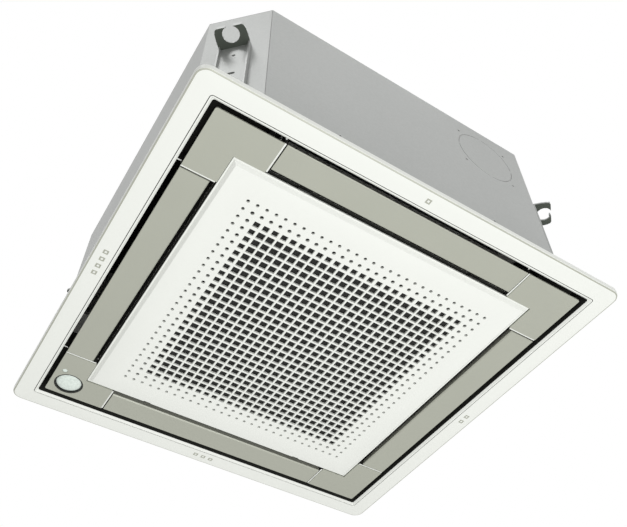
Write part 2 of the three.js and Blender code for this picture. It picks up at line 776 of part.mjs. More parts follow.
function linerFoam() {
  const low = panTop + clearance;
  const high = sheetTop - flange - clearance;
  return prism(octagonShape(sheet + clearance), low, high)
    .subtract(prism(octagonShape(sheet + clearance + linerWall), low - 1, high + 1))
    .subtract(turned(pipeHole(), 1))
    .subtract(barY(cableRadius - 4, cableX, casingHalf - 20, casingHalf + 2, cableZ, 10))
    .subtract(barY(drainRadius + 1.5, drainX, casingHalf - 20, casingHalf + 2, drainZ, 16));
}

function topInsulation() {
  const high = sheetTop - beadDepth - clearance;
  return prism(octagonShape(3 * sheet + linerWall), high - topFoam, high)
    .subtract(disc(topRecessRadius + 3, 0, 0, high - topFoam - 1, high + 1, 24));
}

function hangerBracket() {
  const face = chamferDistance + clearance;
  const half = bracketWidth / 2;
  const plate = sideBox(-half, half, face, face + bracketSheet, bracketBottom, bracketTop);
  const flanges = joined([-1, 1].map((side) => {
    const x0 = side < 0 ? -half : half - bracketSheet;
    return sideBox(x0, x0 + bracketSheet, face, face + bracketSheet + bracketFlange,
      bracketBottom, bracketTop - bracketSheet / 2);
  }));
  const tab = new THREE.Shape();
  const tip = face + tabReach;
  tab.moveTo(-half, -face).lineTo(-half, -face - tabReach * 0.55);
  tab.quadraticCurveTo(-half, -tip, -tabTip / 2, -tip).lineTo(tabTip / 2, -tip);
  tab.quadraticCurveTo(half, -tip, half, -face - tabReach * 0.55).lineTo(half, -face);
  const lip = sideBox(-tabTip / 2, tabTip / 2, tip - 2, tip, bracketTop - 1, bracketTop + tabLip);
  const slot = joined(
    disc(slotRadius, 0, -face - slotCentre, bracketTop - bracketSheet - 2, bracketTop + 1, 16),
    sideBox(-slotMouth / 2, slotMouth / 2, face + slotCentre, tip + 2, bracketTop - bracketSheet - 2,
      bracketTop + tabLip + 1),
  );
  const hole = barY(2.75, 0, -face - bracketSheet - 1, -face + 1, bracketHoleZ, 8);
  const oval = joined(
    barY(2.75, -3, -face - bracketSheet - 1, -face + 1, bracketOvalZ, 6),
    barY(2.75, 3, -face - bracketSheet - 1, -face + 1, bracketOvalZ, 6),
    sideBox(-3, 3, face - 1, face + bracketSheet + 1, bracketOvalZ - 2.75, bracketOvalZ + 2.75),
  );
  const tabSolid = prism(tab, bracketTop - bracketSheet, bracketTop, 3);
  return joined(plate, flanges, tabSolid, lip).subtract(joined(slot, hole, oval));
}

// ---------------------------------------------------------------- drain pan and drain

function drainPan() {
  const block = prism(octagonShape(sheet + clearance), casingBase + sheet + clearance, panTop)
    .add(prism(octagonShape(flange + 0.6), casingBase + clearance, panTop - 10));
  const outlets = allRound(sideBox(-outletHalf, outletHalf, panOutletInner, panOutletOuter, 0, panTop + 1));
  const opening = prism(squareShape(panOpeningHalf, 30), 0, panTop + 1, 3);
  const seat = prism(squareShape(panSeatHalf, 6), 0, panRecessTop, 3);
  const trough = ring(troughOuter, troughInner, troughFloor, panTop + 1, 20, coilCorner - coilThickness);
  const sumpEnd = casingHalf - sumpWall;
  const sump = box(outletHalf + 6, sumpEnd, outletHalf + 6, sumpEnd, troughFloor, panTop + 1)
    .intersect(prism(octagonShape(22), 0, panTop + 2));
  return block.subtract(joined(outlets, opening, seat, trough, sump));
}

function drainPump() {
  const foot = troughFloor + 1.5;
  const body = revolved([[0, foot], [11, foot], [14, foot + 12], [14, 84], [pumpRadius, 88],
    [pumpRadius, 112], [pumpRadius - 5, 116], [pumpRadius - 5, pumpTop], [0, pumpTop]], 16);
  const spout = barY(8, 0, 0, pumpRadius + 9, 99, 10);
  return solid(toGeometry(joined(body, spout)).translate(pumpX, pumpY, 0));
}

const hoseEnd = casingHalf - linerWall - 15;

function drainHose() {
  const start = pumpY + pumpRadius + 9 + clearance;
  return tube([[pumpX, start, 99], [pumpX, start + 4, 99], [pumpX - 1, start + 16, 108],
    [pumpX - 12, start + 15, 150], [drainX + 12, hoseEnd - 19, 192], [drainX + 1, hoseEnd - 12, drainZ - 3],
    [drainX, hoseEnd - 4, drainZ], [drainX, hoseEnd, drainZ],
  ], 8, 4, 14);
}

function drainSocket() {
  const inner = hoseEnd + clearance;
  const outer = casingHalf + drainReach;
  const body = joined(
    barY(drainRadius, drainX, inner, outer, drainZ, 18),
    barY(drainRadius + 5, drainX, casingHalf + clearance, casingHalf + 3, drainZ, 18),
  );
  return body.subtract(barY(drainRadius - 3, drainX, inner + 6, outer + 1, drainZ, 14));
}

// Partition sheet across the open corner of the coil, with the shelf that carries the pump.
function coilPartition() {
  const far = coilInner - 1;
  const near = coilEnd + 2.3;
  const shape = new THREE.Shape();
  shape.moveTo(far, near).lineTo(far + 2, near).lineTo(near, far + 2).lineTo(near, far);
  const wall = prism(shape, panTop + clearance, coilTop);
  const middle = (far + near) / 2;
  const shelf = new THREE.Shape();
  shelf.moveTo(middle + 20, middle - 20).lineTo(floatX + 12, floatY - 12).lineTo(floatX + 12, floatY + 12);
  shelf.lineTo(pumpX + 14, pumpY + 24).lineTo(pumpX - 20, pumpY + 24).lineTo(middle - 20, middle + 20);
  const shelfZ = pumpTop + clearance;
  return wall.add(prism(shelf, shelfZ, shelfZ + 1.5));
}

function floatStem() {
  const top = pumpTop;
  const bottom = troughFloor + 3;
  const stem = disc(3, floatX, floatY, bottom, top, 10);
  const stop = disc(6, floatX, floatY, bottom, bottom + 2, 10);
  const head = disc(8, floatX, floatY, top - 16, top, 12);
  return joined(stem, stop, head);
}

function float() {
  const low = troughFloor + 5 + clearance;
  return disc(floatRadius, floatX, floatY, low, low + 14, 16)
    .subtract(disc(3 + clearance, floatX, floatY, low - 1, low + 15, 10));
}

// ---------------------------------------------------------------- air path

function bellmouth() {
  const plate = prism(squareShape(bellPlateHalf, 4), bellZ, bellZ + bellSheet, 3)
    .subtract(disc(bellMouth + 8, 0, 0, bellZ - 1, bellZ + bellSheet + 1, 28));
  const outer = [];
  const inner = [];
  const steps = 3;
  for (let i = 0; i <= steps; i += 1) {
    const angle = (i / steps) * quarter;
    const r = bellThroat + (bellMouth - bellThroat) * (1 - Math.sin(angle));
    const z = bellZ + 0.3 + bellHeight * (1 - Math.cos(angle));
    inner.push([r, z]);
    outer.push([r + bellSheet, z]);
  }
  const lipTop = bellZ + bellSheet - 0.3;
  const lip = [[bellMouth + 2, lipTop], [bellMouth + 12, lipTop], [bellMouth + 12, bellZ + 0.3]];
  const horn = revolved([...inner, ...outer.slice(1).reverse(), ...lip, inner[0]], 28);
  return plate.add(horn);
}

function bladeGeometry() {
  const shape = new THREE.Shape();
  const chord = bladeChord;
  const camber = chord * 0.13;
  const half = bladeThickness / 2;
  shape.moveTo(0, 0);
  shape.quadraticCurveTo(chord * 0.18, camber * 0.7 + half, chord * 0.45, camber + half * 0.9);
  shape.quadraticCurveTo(chord * 0.8, camber * 0.9, chord, 0);
  shape.lineTo(chord - 0.6, -1.2);
  shape.quadraticCurveTo(chord * 0.75, camber * 0.5, chord * 0.45, camber - half * 0.9);
  shape.quadraticCurveTo(chord * 0.15, camber * 0.2 - half, 0, 0);
  const height = fanBackZ - fanInletZ - 10;
  return new THREE.ExtrudeGeometry(shape, {
    depth: height, steps: 1, bevelEnabled: false, curveSegments: 3,
  }).translate(0, 0, fanBackZ + 1 - height);
}

// A backward-curved blade: the chord leans back from the radius and twists with height.
function blade(index) {
  const geometry = bladeGeometry();
  const lean = THREE.MathUtils.degToRad(90 - bladeSweep);
  geometry.rotateZ(-lean);
  geometry.translate(fanRadius - bladeChord * Math.cos(lean) * 1.02 - 8, bladeChord * 0.38, 0);
  const position = geometry.attributes.position;
  const point = new THREE.Vector3();
  const up = new THREE.Vector3(0, 0, 1);
  for (let i = 0; i < position.count; i += 1) {
    point.fromBufferAttribute(position, i);
    const share = (fanBackZ - point.z) / (fanBackZ - fanInletZ);
    const turn = share * THREE.MathUtils.degToRad(bladeTwist) + (index / bladeCount) * 2 * Math.PI;
    point.applyAxisAngle(up, turn);
    position.setXYZ(i, point.x, point.y, point.z);
  }
  return solid(geometry);
}

// Outer surface of the shroud as [radius, height] pairs from the inlet to the rim.
function shroudCurve(offset) {
  const points = [];
  const steps = 3;
  for (let i = 0; i <= steps; i += 1) {
    const angle = (i / steps) * quarter;
    const out = Math.cos(angle);
    points.push([
      fanRadius - (fanRadius - fanInlet) * out + offset * out,
      fanInletZ + 8 + shroudRise * Math.sin(angle) - offset * Math.sin(angle),
    ]);
  }
  return points;
}

function turboFan() {
  const upper = shroudCurve(0);
  const lower = shroudCurve(fanSheet);
  const shroud = revolved([[fanInlet, fanInletZ], ...upper, ...lower.reverse(),
    [fanInlet + fanSheet, fanInletZ], [fanInlet, fanInletZ]], 28);
  const hub = revolved([[shaftRadius + clearance, hubZ - 6], [bossRadius, hubZ - 6], [bossRadius, hubZ],
    [hubRadius, hubZ], [hubConeTop, fanBackZ], [fanRadius, fanBackZ], [fanRadius, fanBackZ + fanSheet],
    [hubConeTop - 2, fanBackZ + fanSheet], [hubRadius - 2, hubZ + fanSheet], [bossRadius, hubZ + fanSheet],
    [bossRadius, hubZ - 6 + bossLength], [shaftRadius + clearance, hubZ - 6 + bossLength],
    [shaftRadius + clearance, hubZ - 6]], 28);
  const blades = [];
  for (let i = 0; i < bladeCount; i += 1) {
    blades.push(blade(i));
  }
  const envelope = revolved([[0, fanInletZ + 9], [fanInlet, fanInletZ + 9], ...shroudCurve(0.8).slice(1),
    [fanRadius, fanBackZ + 1], [0, fanBackZ + 1]], 28);
  return joined(shroud, hub, joined(blades).intersect(envelope));
}

function fanNut() {
  const washerZ = hubZ - 6 - clearance;
  const washer = disc(10, 0, 0, washerZ - 1.5, washerZ, 14);
  const nut = disc(7.5, 0, 0, washerZ - 8, washerZ - 1, 6);
  return joined(washer, nut).subtract(disc(shaftRadius + clearance, 0, 0, washerZ - 9, washerZ + 1, 10));
}

function studPlaces() {
  return Array.from({ length: motorMountCount }, (_, i) => {
    const angle = (i / motorMountCount) * 2 * Math.PI + quarter;
    return [motorEarRadius * Math.cos(angle), motorEarRadius * Math.sin(angle)];
  });
}

function fanMotor() {
  const body = revolved([[0, hubZ - 16], [shaftRadius, hubZ - 16], [shaftRadius, motorBottom - 4], [14, motorBottom - 4],
    [14, motorBottom], [motorRadius - 6, motorBottom], [motorRadius, motorBottom + 6], [motorRadius, motorTop - 6],
    [motorRadius - 5, motorTop], [0, motorTop]], 20);
  const earZ = motorTop - 14;
  let motor = body;
  for (const [x, y] of studPlaces()) {
    motor = motor.add(disc(bushRadius + 3, x, y, earZ, earZ + motorEar, 12));
  }
  const ear = disc(motorRadius + 6, 0, 0, earZ, earZ + motorEar, 20);
  motor = motor.add(ear);
  for (const [x, y] of studPlaces()) {
    motor = motor.subtract(disc(earHole, x, y, earZ - 1, earZ + motorEar + 1, 8));
  }
  return motor;
}

function motorBush([x, y]) {
  const earZ = motorTop - 14;
  const low = earZ - clearance;
  const high = earZ + motorEar + clearance;
  const spool = revolved([[studRadius + clearance, low - 3], [bushRadius, low - 3], [bushRadius, low],
    [bushNeck, low], [bushNeck, high], [bushRadius, high], [bushRadius, high + 3],
    [studRadius + clearance, high + 3], [studRadius + clearance, low - 3]], 8);
  return solid(toGeometry(spool).translate(x, y, 0));
}

// Dished mounting plate under the top recess with a stud down through each rubber bush.
function motorMount() {
  const high = recessSheet - clearance;
  let mount = disc(motorEarRadius + 14, 0, 0, high - 2, high, 24)
    .subtract(disc(motorEarRadius - 16, 0, 0, high - 3, high + 1, 20));
  for (const [x, y] of studPlaces()) {
    mount = mount.add(disc(studRadius, x, y, motorTop - 20, high - 1, 8));
    mount = mount.add(disc(6, x, y, motorTop - 14 + motorEar + 2 * clearance + 3, high - 1, 8));
  }
  return mount;
}

// ---------------------------------------------------------------- coil and pipes

function coil() {
  const body = ring(coilOuter, coilInner, troughFloor + clearance, coilTop, coilCorner,
    coilCorner - coilThickness);
  return body.subtract(box(coilEnd, casingHalf, coilEnd, casingHalf, 0, casingTop));
}

// Tube sheet with return bends at the coil's end on the back side.
function coilReturnBends() {
  const x0 = coilEnd + clearance;
  const low = troughFloor + 8;
  const plate = box(x0, x0 + 1.5, coilInner - 1, coilOuter + 1, low, coilTop - 4);
  const pitch = (coilTop - low - 30) / returnBends;
  const y = (coilInner + coilOuter) / 2;
  const bends = [];
  for (let i = 0; i < returnBends; i += 1) {
    const z = low + 16 + pitch * i;
    const rise = pitch * 0.5;
    bends.push(tube([[x0 + 1, y - 5, z], [x0 + 9, y - 4, z + 1], [x0 + 13, y, z + rise / 2],
      [x0 + 9, y + 4, z + rise - 1], [x0 + 1, y + 5, z + rise]], 3.4, 3, 4));
  }
  return joined(plate, joined(bends));
}

// Header on the coil's end at the right side, with the pipe that leaves through the casing.
function pipeRun(radius, headerRadius, headerOffset, z) {
  const headerX = (coilInner + coilOuter) / 2 + headerOffset;
  const headerY = coilEnd + headerRadius + clearance;
  const header = disc(headerRadius, headerX, headerY, troughFloor + 22, coilTop - 20, 12);
  const end = casingHalf + pipeReach;
  const run = tube([[headerX, headerY, z], [headerX + 3, headerY + 14, z], [headerX + 22, pipeY, z],
    [headerX + 42, pipeY, z], [end - 12, pipeY, z], [end, pipeY, z]], radius, 4, 9);
  return joined(header, run);
}

function flareNut(radius, z) {
  const end = casingHalf + pipeReach;
  const across = radius * 2 + 4;
  const hexagon = new THREE.CylinderGeometry(across * 0.62, across * 0.62, 15, 6)
    .rotateZ(quarter).translate(end - 4.5, pipeY, z);
  const collar = new THREE.CylinderGeometry(across * 0.45, across * 0.38, 6, 12)
    .rotateZ(quarter).translate(end + 5.5, pipeY, z);
  const bore = new THREE.CylinderGeometry(radius + 0.7, radius + 0.7, 16, 10)
    .rotateZ(quarter).translate(end + clearance - 8, pipeY, z);
  return joined(solid(hexagon), solid(collar)).subtract(solid(bore));
}

function pipeCoverPlate() {
  const [width, height] = pipeCover;
  const middle = (gasPipeZ + liquidPipeZ) / 2;
  const plate = box(casingHalf + clearance, casingHalf + clearance + 1.5, pipeY - width / 2,
    pipeY + width / 2, middle - height / 2, middle + height / 2);
  const holes = [[gasPipeRadius, gasPipeZ], [liquidPipeRadius, liquidPipeZ]].map(([radius, z]) => {
    const hole = new THREE.CylinderGeometry(radius + 1, radius + 1, 8, 12);
    return solid(hole.rotateZ(quarter).translate(casingHalf, pipeY, z));
  });
  return plate.subtract(joined(holes));
}

// ---------------------------------------------------------------- electrics

const boxTop = bellZ - clearance;
const boxFoot = boxTop - boxHeight;

function controlBox() {
  const y0 = boxY - boxWidth / 2;
  const y1 = boxY + boxWidth / 2;
  return box(-boxLength / 2, boxLength / 2, y0, y1, boxFoot, boxTop)
    .subtract(box(boxSheet - boxLength / 2, boxLength / 2 - boxSheet, y0 + boxSheet, y1 - boxSheet,
      boxFoot - 1, boxTop - boxSheet));
}

function controlBoxLid() {
  const y0 = boxY - boxWidth / 2;
  const y1 = boxY + boxWidth / 2;
  const top = boxFoot - clearance;
  const plate = box(-boxLength / 2, boxLength / 2, y0, y1, top - boxSheet, top);
  const bead1 = box(-boxLength / 2 + 14, boxLength / 2 - 14, boxY - 6, boxY + 6, top - boxSheet - 1.2, top - 0.5);
  return plate.add(bead1);
}

function circuitBoard() {
  const y0 = boxY - boxWidth / 2 + boxSheet + clearance;
  const y1 = boxY + boxWidth / 2 - boxSheet - clearance;
  const z = boxTop - boxSheet - clearance;
  const board = box(-boxLength / 2 + 6, 50, y0, y1, z - 6, z - 4.4);
  const posts = joined([-boxLength / 2 + 16, 40].map((x) => disc(3, x, boxY, z - 5, z, 10)));
  const blocks = [[-100, 9, 14], [-62, 7, 18], [-24, 11, 10], [16, 8, 16]].map(([x, half, height]) => (
    box(x - half, x + half, boxY - 9, boxY + 9, z - 6 - height, z - 5)));
  return joined(board, posts, joined(blocks));
}

function terminalBlock() {
  const y0 = boxY - 11;
  const z = boxTop - boxSheet - clearance;
  const base = box(66, 124, y0, boxY + 11, z - 12, z);
  const walls = joined([0, 1, 2, 3, 4, 5].map((i) => box(66 + i * 11.28, 67.6 + i * 11.28, y0, boxY + 11, z - 20, z - 11)));
  return joined(base, walls);
}

// Rubber bush with a closed membrane in the back side.
function cableBush() {
  return joined(
    barY(cableRadius, cableX, casingHalf + clearance, casingHalf + 2.5, cableZ, 16),
    barY(cableRadius - 2 - clearance, cableX, casingHalf - sheet - 0.2, casingHalf + 1, cableZ, 16),
  );
}

// ---------------------------------------------------------------- assembly

const group = new THREE.Group();
const sides = ['front', 'right', 'back', 'left'];
const corners = ['front_left', 'front_right', 'back_right', 'back_left'];

place('panel_frame', panelFrame(), whitePlastic);
place('duct_seal', ductSeal(), darkFoam);
place('suction_grille', suctionGrille(), whitePlastic);
place('grille_catch_left', grilleCatch(-hingeSpacing / 2), blackPlastic);
place('grille_catch_right', grilleCatch(hingeSpacing / 2), blackPlastic);
place('filter_frame', filterFrame(), blackPlastic);
place('filter_mesh', filterMesh(), filterNet);

for (let turns = 0; turns < 4; turns += 1) {
  place(`flap_${sides[turns]}`, flap(), silverPlastic, turns);
  place(`flap_motor_${sides[turns]}`, flapMotor(), whitePlastic, turns);
  const cover = turns === 3 ? sensorCover() : cornerCover();
  place(`corner_cover_${corners[turns]}`, cover, silverPlastic, turns);
}
place('sensor_housing', sensorHousing(), blackPlastic, 3);
place('sensor_lens', sensorLens(), domePlastic, 3);
place('receiver_lens', receiverLens(), domePlastic, 3);

place('side_plate_front', sidePlate().subtract(knockoutHoles()), galvanised);
place('side_plate_right', sidePlate().subtract(pipeHole()), galvanised, 1);
place('side_plate_back', sidePlate().subtract(backHoles()), galvanised, 2);
place('side_plate_left', sidePlate(), galvanised, 3);
place('top_plate', topPlate(), galvanised);
place('liner_foam', linerFoam(), foam);
place('top_insulation', topInsulation(), darkFoam);
for (let turns = 0; turns < 4; turns += 1) {
  place(`hanger_bracket_${corners[turns]}`, hangerBracket(), bracketSteel, turns - 0.5);
}

place('drain_pan', drainPan(), foam);
place('bellmouth', bellmouth(), whitePlastic);
place('turbo_fan', turboFan(), fanPlastic);
place('fan_nut', fanNut(), galvanised);
place('fan_motor', fanMotor(), motorPaint);
place('motor_mount', motorMount(), galvanised);
studPlaces().forEach((spot, i) => place(`motor_bush_${i + 1}`, motorBush(spot), rubber));

place('coil', coil(), aluminiumFin);
place('coil_return_bends', coilReturnBends(), copper);
place('coil_partition', coilPartition(), galvanised);
place('gas_pipe', pipeRun(gasPipeRadius, gasHeaderRadius, gasHeaderOffset, gasPipeZ), copper);
place('liquid_pipe', pipeRun(liquidPipeRadius, liquidHeaderRadius, liquidHeaderOffset, liquidPipeZ), copper);
place('gas_flare_nut', flareNut(gasPipeRadius, gasPipeZ), brass);
place('liquid_flare_nut', flareNut(liquidPipeRadius, liquidPipeZ), brass);
place('pipe_cover_plate', pipeCoverPlate(), galvanised);
place('drain_pump', drainPump(), whitePlastic);
place('drain_hose', drainHose(), rubber);
place('drain_socket', drainSocket(), whitePlastic);
place('float_stem', floatStem(), whitePlastic);
place('float', float(), blackPlastic);

place('control_box', controlBox(), galvanised);
place('control_box_lid', controlBoxLid(), galvanised);
place('circuit_board', circuitBoard(), boardGreen);
place('terminal_block', terminalBlock(), blackPlastic);
place('cable_bush', cableBush(), rubber);

export default group;
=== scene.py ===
"""Ceiling cassette air conditioner: softened edges, the fine suction lattice, outlet marks, screws,
the sensor's dome, a procedural finish on every piece, and a plain studio with the photograph's camera."""

import json
import math

import bmesh
import bpy
from bpy.props import FloatProperty, FloatVectorProperty, IntProperty, PointerProperty
from mathutils import Matrix, Vector

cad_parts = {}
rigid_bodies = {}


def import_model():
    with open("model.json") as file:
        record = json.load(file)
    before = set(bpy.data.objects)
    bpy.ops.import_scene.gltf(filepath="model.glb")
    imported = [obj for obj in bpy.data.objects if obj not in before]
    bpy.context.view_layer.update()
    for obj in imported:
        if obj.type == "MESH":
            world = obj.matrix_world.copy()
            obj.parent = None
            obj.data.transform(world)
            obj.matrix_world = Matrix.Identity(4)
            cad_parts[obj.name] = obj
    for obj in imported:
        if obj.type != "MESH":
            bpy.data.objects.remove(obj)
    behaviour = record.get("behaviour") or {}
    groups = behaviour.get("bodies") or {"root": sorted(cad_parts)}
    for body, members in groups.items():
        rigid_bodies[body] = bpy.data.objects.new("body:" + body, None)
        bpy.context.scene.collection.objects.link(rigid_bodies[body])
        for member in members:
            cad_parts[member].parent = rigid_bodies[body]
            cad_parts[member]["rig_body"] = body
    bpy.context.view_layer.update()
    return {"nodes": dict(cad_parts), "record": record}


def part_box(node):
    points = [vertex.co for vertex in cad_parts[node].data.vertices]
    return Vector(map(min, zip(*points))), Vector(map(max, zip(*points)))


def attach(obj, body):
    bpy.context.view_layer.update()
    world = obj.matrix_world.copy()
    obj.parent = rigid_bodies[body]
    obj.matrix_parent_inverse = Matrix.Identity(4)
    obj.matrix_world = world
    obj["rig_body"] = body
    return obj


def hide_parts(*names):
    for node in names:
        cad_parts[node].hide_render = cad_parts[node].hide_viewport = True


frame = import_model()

bl_info = {
    "name": "Ceiling cassette air conditioner",
    "version": (1, 0, 0),
    "blender": (4, 5, 0),
    "location": "View3D > Sidebar > Cassette",
    "description": "Dresses the cassette's solids with edges, lattice, screws and finishes",
    "category": "Object",
}

MM = 0.001
QUARTER = math.pi / 2
MERGE = 0.01 * MM
SHARP = math.radians(35)           # edges over this angle are rounded
SMOOTH = math.radians(40)          # edges under this angle are shaded smooth
FLAT = math.radians(0.5)           # triangles under this angle make one flat face

# Places on the panel and the casing, most of them read from the solids.
FACE_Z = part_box("suction_grille")[0].z
PLATE_THICKNESS = 3 * MM
PLATE_BACK = FACE_Z + PLATE_THICKNESS
RIM_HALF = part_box("panel_frame")[1].x
GROOVE_OUTSIDE = RIM_HALF - 25 * MM
GROOVE_INSIDE = RIM_HALF - 28 * MM
RECESS_EDGE = RIM_HALF - 30.5 * MM
MARKS_INSIDE = RIM_HALF - 20 * MM
RECESS_DEPTH = 2.6 * MM
SUNK = 0.25 * MM                   # a floor at least this deep isn't the rim's own face
COVER_TO_RIB = 1.3 * MM            # from a corner cover's end to the middle of the rib beside it
RIB_HALF = 1.2 * MM
RIB_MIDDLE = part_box("corner_cover_front_right")[0].x - COVER_TO_RIB
TAB_Z = 0.185                      # a bracket's flat faces above this height are its hanger tab
# The hanger tab's flat faces are given a dark colour as painted shade.
LOW_SCREWS = (0.12, 0.044)         # casing screws: distance from a side's middle, and height
TOP_SCREWS_X = 0.165
TOP_SCREWS_DROP = 7 * MM
COVER_SCREWS = (7 * MM, 6 * MM)    # from the pipe cover's edges
SLOT_OF = {part["node"]: part["material_slot"] for part in frame["record"]["subparts"]}
SIDES = ("front", "right", "back", "left")
CORNERS = ("front_left", "front_right", "back_right", "back_left")


def tint(red, green, blue):
    """A colour read as display values from 0 to 255, in linear light."""
    def linear(value):
        share = value / 255
        return share / 12.92 if share <= 0.04045 else ((share + 0.055) / 1.055) ** 2.4
    return linear(red), linear(green), linear(blue)


# ---------------------------------------------------------------- sizes and colours a user may change


def length(label, description, millimetres):
    return FloatProperty(name=label, description=description, default=millimetres * MM, unit="LENGTH",
                         precision=5)


def colour(label, description, red, green, blue):
    return FloatVectorProperty(name=label, description=description, default=tint(red, green, blue),
                               subtype="COLOR", size=3, min=0, max=1)


class CassetteLattice(bpy.types.PropertyGroup):
    """The perforated middle of the suction grille."""
    pitch: length("Pitch", "Distance between neighbouring holes", 13)
    square: length("Square", "Width of the square holes in the middle", 10.2)
    small_square: length("Small square", "Width of the outermost square holes", 8.2)
    large_dot: length("Large dot", "Diameter of the inner ring of round holes", 5.4)
    small_dot: length("Small dot", "Diameter of the outer ring of round holes", 4.6)
    chamfer: length("Chamfer", "Width of the softened edge of a hole", 0.35)
    rows: IntProperty(name="Rows", description="Holes across the lattice, both rings included",
                      default=29, min=9, max=41)


class CassetteEdges(bpy.types.PropertyGroup):
    """Roundings and the small marks on the rim."""
    panel: length("Panel edge", "Rounding of the panel frame's edges", 0.18)
    moulded: length("Moulded edge", "Rounding of the moulded pieces' edges", 0.45)
    sheet: length("Sheet edge", "Rounding of the sheet metal's edges", 0.3)
    mark: length("Mark", "Width of an outlet mark", 7)
    mark_depth: length("Mark depth", "Depth of an outlet mark", 0.4)
    mark_pitch: length("Mark pitch", "Distance between neighbouring outlet marks", 13)
    mark_inset: length("Mark inset", "Distance of the marks from the rim's outer edge", 15)
    screw_head: length("Screw head", "Diameter of a casing screw's head", 7.6)
    screw_height: length("Screw height", "Height of a casing screw's head", 2.1)


class CassetteColours(bpy.types.PropertyGroup):
    """Colours of the finishes."""
    white: colour("White", "Rim and suction grille", 231, 233, 228)
    silver: colour("Silver", "Flaps and corner covers", 174, 176, 164)
    zinc_light: colour("Zinc light", "Bright crystals of the zinc coating", 176, 178, 176)
    zinc_dark: colour("Zinc dark", "Dull crystals of the zinc coating", 164, 166, 164)
    # Painted shade: this dark colour on the tabs' flat faces stands for the shade on the tabs, not a duller
    # finish.
    tab: colour("Hanger tab", "Dull faces of the hanger tabs", 84, 90, 82)
    foam: colour("Foam", "Moulded bead foam", 236, 236, 232)
    dark_foam: colour("Dark foam", "Closed-cell foam sheet", 52, 54, 54)
    black: colour("Black", "Black mouldings", 26, 27, 25)
    # Painted shade, in part: this dark colour lines the duct recess, standing also for the shade in its
    # gaps, and darkens the groove floor as painted shade.
    lining_and_shade: colour("Lining", "Dark lining of the air ducts", 34, 35, 31)
    fan: colour("Fan", "Fan wheel", 112, 117, 119)
    motor: colour("Motor", "Motor paint", 58, 62, 64)
    copper: colour("Copper", "Bare copper", 196, 126, 88)
    brass: colour("Brass", "Machined brass", 198, 174, 118)
    fins: colour("Fins", "Bare aluminium fins", 190, 195, 197)
    dome: colour("Dome", "Milky sensor dome", 226, 236, 229)
    board: colour("Board", "Circuit board lacquer", 38, 92, 60)
    dust: colour("Dust", "Dust on upward faces", 172, 166, 152)


class CassetteStudio(bpy.types.PropertyGroup):
    """Camera, lamps and floor."""
    place: FloatVectorProperty(name="Camera", description="Camera position", subtype="TRANSLATION",
                               unit="LENGTH", size=3, default=(-0.40177, -0.67312, -0.75823), precision=5)
    azimuth: FloatProperty(name="Azimuth", description="Camera azimuth from the front", subtype="ANGLE",
                           default=math.radians(-32.36))
    elevation: FloatProperty(name="Elevation", description="Camera elevation above the horizon",
                             subtype="ANGLE", default=math.radians(-50.0))
    roll: FloatProperty(name="Roll", description="Camera roll", subtype="ANGLE",
                        default=math.radians(-0.29))
    lens: FloatProperty(name="Lens", description="Focal length on a 36 mm sensor, in millimetres",
                        default=44.37, min=10, max=200)
    floor: FloatProperty(name="Floor", description="Height of the floor", default=-2.3, unit="LENGTH")
    world: FloatProperty(name="World", description="Strength of the room's even light", default=0.55,
                         min=0, max=2)
    floor_colour: colour("Floor colour", "Pale floor", 236, 236, 234)
    key: FloatProperty(name="Key", description="Power of the lamp below the panel, in watts", default=30,
                       min=0)
    fill: FloatProperty(name="Fill", description="Power of the lamp before the front side, in watts",
                        default=7, min=0)
    edge: FloatProperty(name="Edge", description="Power of the lamp above the front left corner, in watts",
                        default=3.5, min=0)
    top: FloatProperty(name="Top", description="Power of the lamp above the casing, in watts", default=30,
                       min=0)


# ---------------------------------------------------------------- working on a mesh


def only(*pieces):
    """Selects these objects alone, with the first one active."""
    bpy.ops.object.select_all(action="DESELECT")
    for piece in pieces:
        piece.select_set(True)
    bpy.context.view_layer.objects.active = pieces[0]


def edit(piece, mode="VERT"):
    only(piece)
    bpy.ops.object.mode_set(mode="EDIT")
    bpy.ops.mesh.select_mode(type=mode)
    bpy.ops.mesh.select_all(action="SELECT")


def leave():
    bpy.ops.object.mode_set(mode="OBJECT")


def pick_vertices(piece, wanted):
    """Selects, in edit mode, the vertices whose place passes the test."""
    bpy.ops.mesh.select_mode(type="VERT")
    bpy.ops.mesh.select_all(action="DESELECT")
    mesh = bmesh.from_edit_mesh(piece.data)
    for vertex in mesh.verts:
        if wanted(vertex.co):
            vertex.select_set(True)
    mesh.select_flush(True)
    bmesh.update_edit_mesh(piece.data)


def pick_edges(piece, wanted):
    """Selects, in edit mode, the edges whose two ends pass the test."""
    bpy.ops.mesh.select_mode(type="EDGE")
    bpy.ops.mesh.select_all(action="DESELECT")
    mesh = bmesh.from_edit_mesh(piece.data)
    for edge in mesh.edges:
        if wanted(edge.verts[0].co) and wanted(edge.verts[1].co):
            edge.select_set(True)
    bmesh.update_edit_mesh(piece.data)


def pick_faces(piece, wanted):
    """Selects, in edit mode, the faces whose corners' places and whose normal pass the test."""
    bpy.ops.mesh.select_mode(type="FACE")
    bpy.ops.mesh.select_all(action="DESELECT")
    mesh = bmesh.from_edit_mesh(piece.data)
    for face in mesh.faces:
        if wanted([corner.co for corner in face.verts], face.normal):
            face.select_set(True)
    bmesh.update_edit_mesh(piece.data)


def apply_modifier(piece, kind, **settings):
    only(piece)
    modifier = piece.modifiers.new(kind.title(), kind)
    for name, value in settings.items():
        setattr(modifier, name, value)
    bpy.ops.object.modifier_apply(modifier=modifier.name)


def settle(piece):
    """Moves an object's place, turn and scale into its mesh."""
    only(piece)
    bpy.ops.object.transform_apply(location=True, rotation=True, scale=True)
    return piece


def added(name):
    """The primitive that was just added, named and with its place in its mesh."""
    piece = bpy.context.view_layer.objects.active
    piece.name = name
    piece.data.name = name
    return settle(piece)


def join(name, *pieces):
    only(*pieces)
    bpy.ops.object.join()
    joined = bpy.context.view_layer.objects.active
    joined.name = name
    return joined


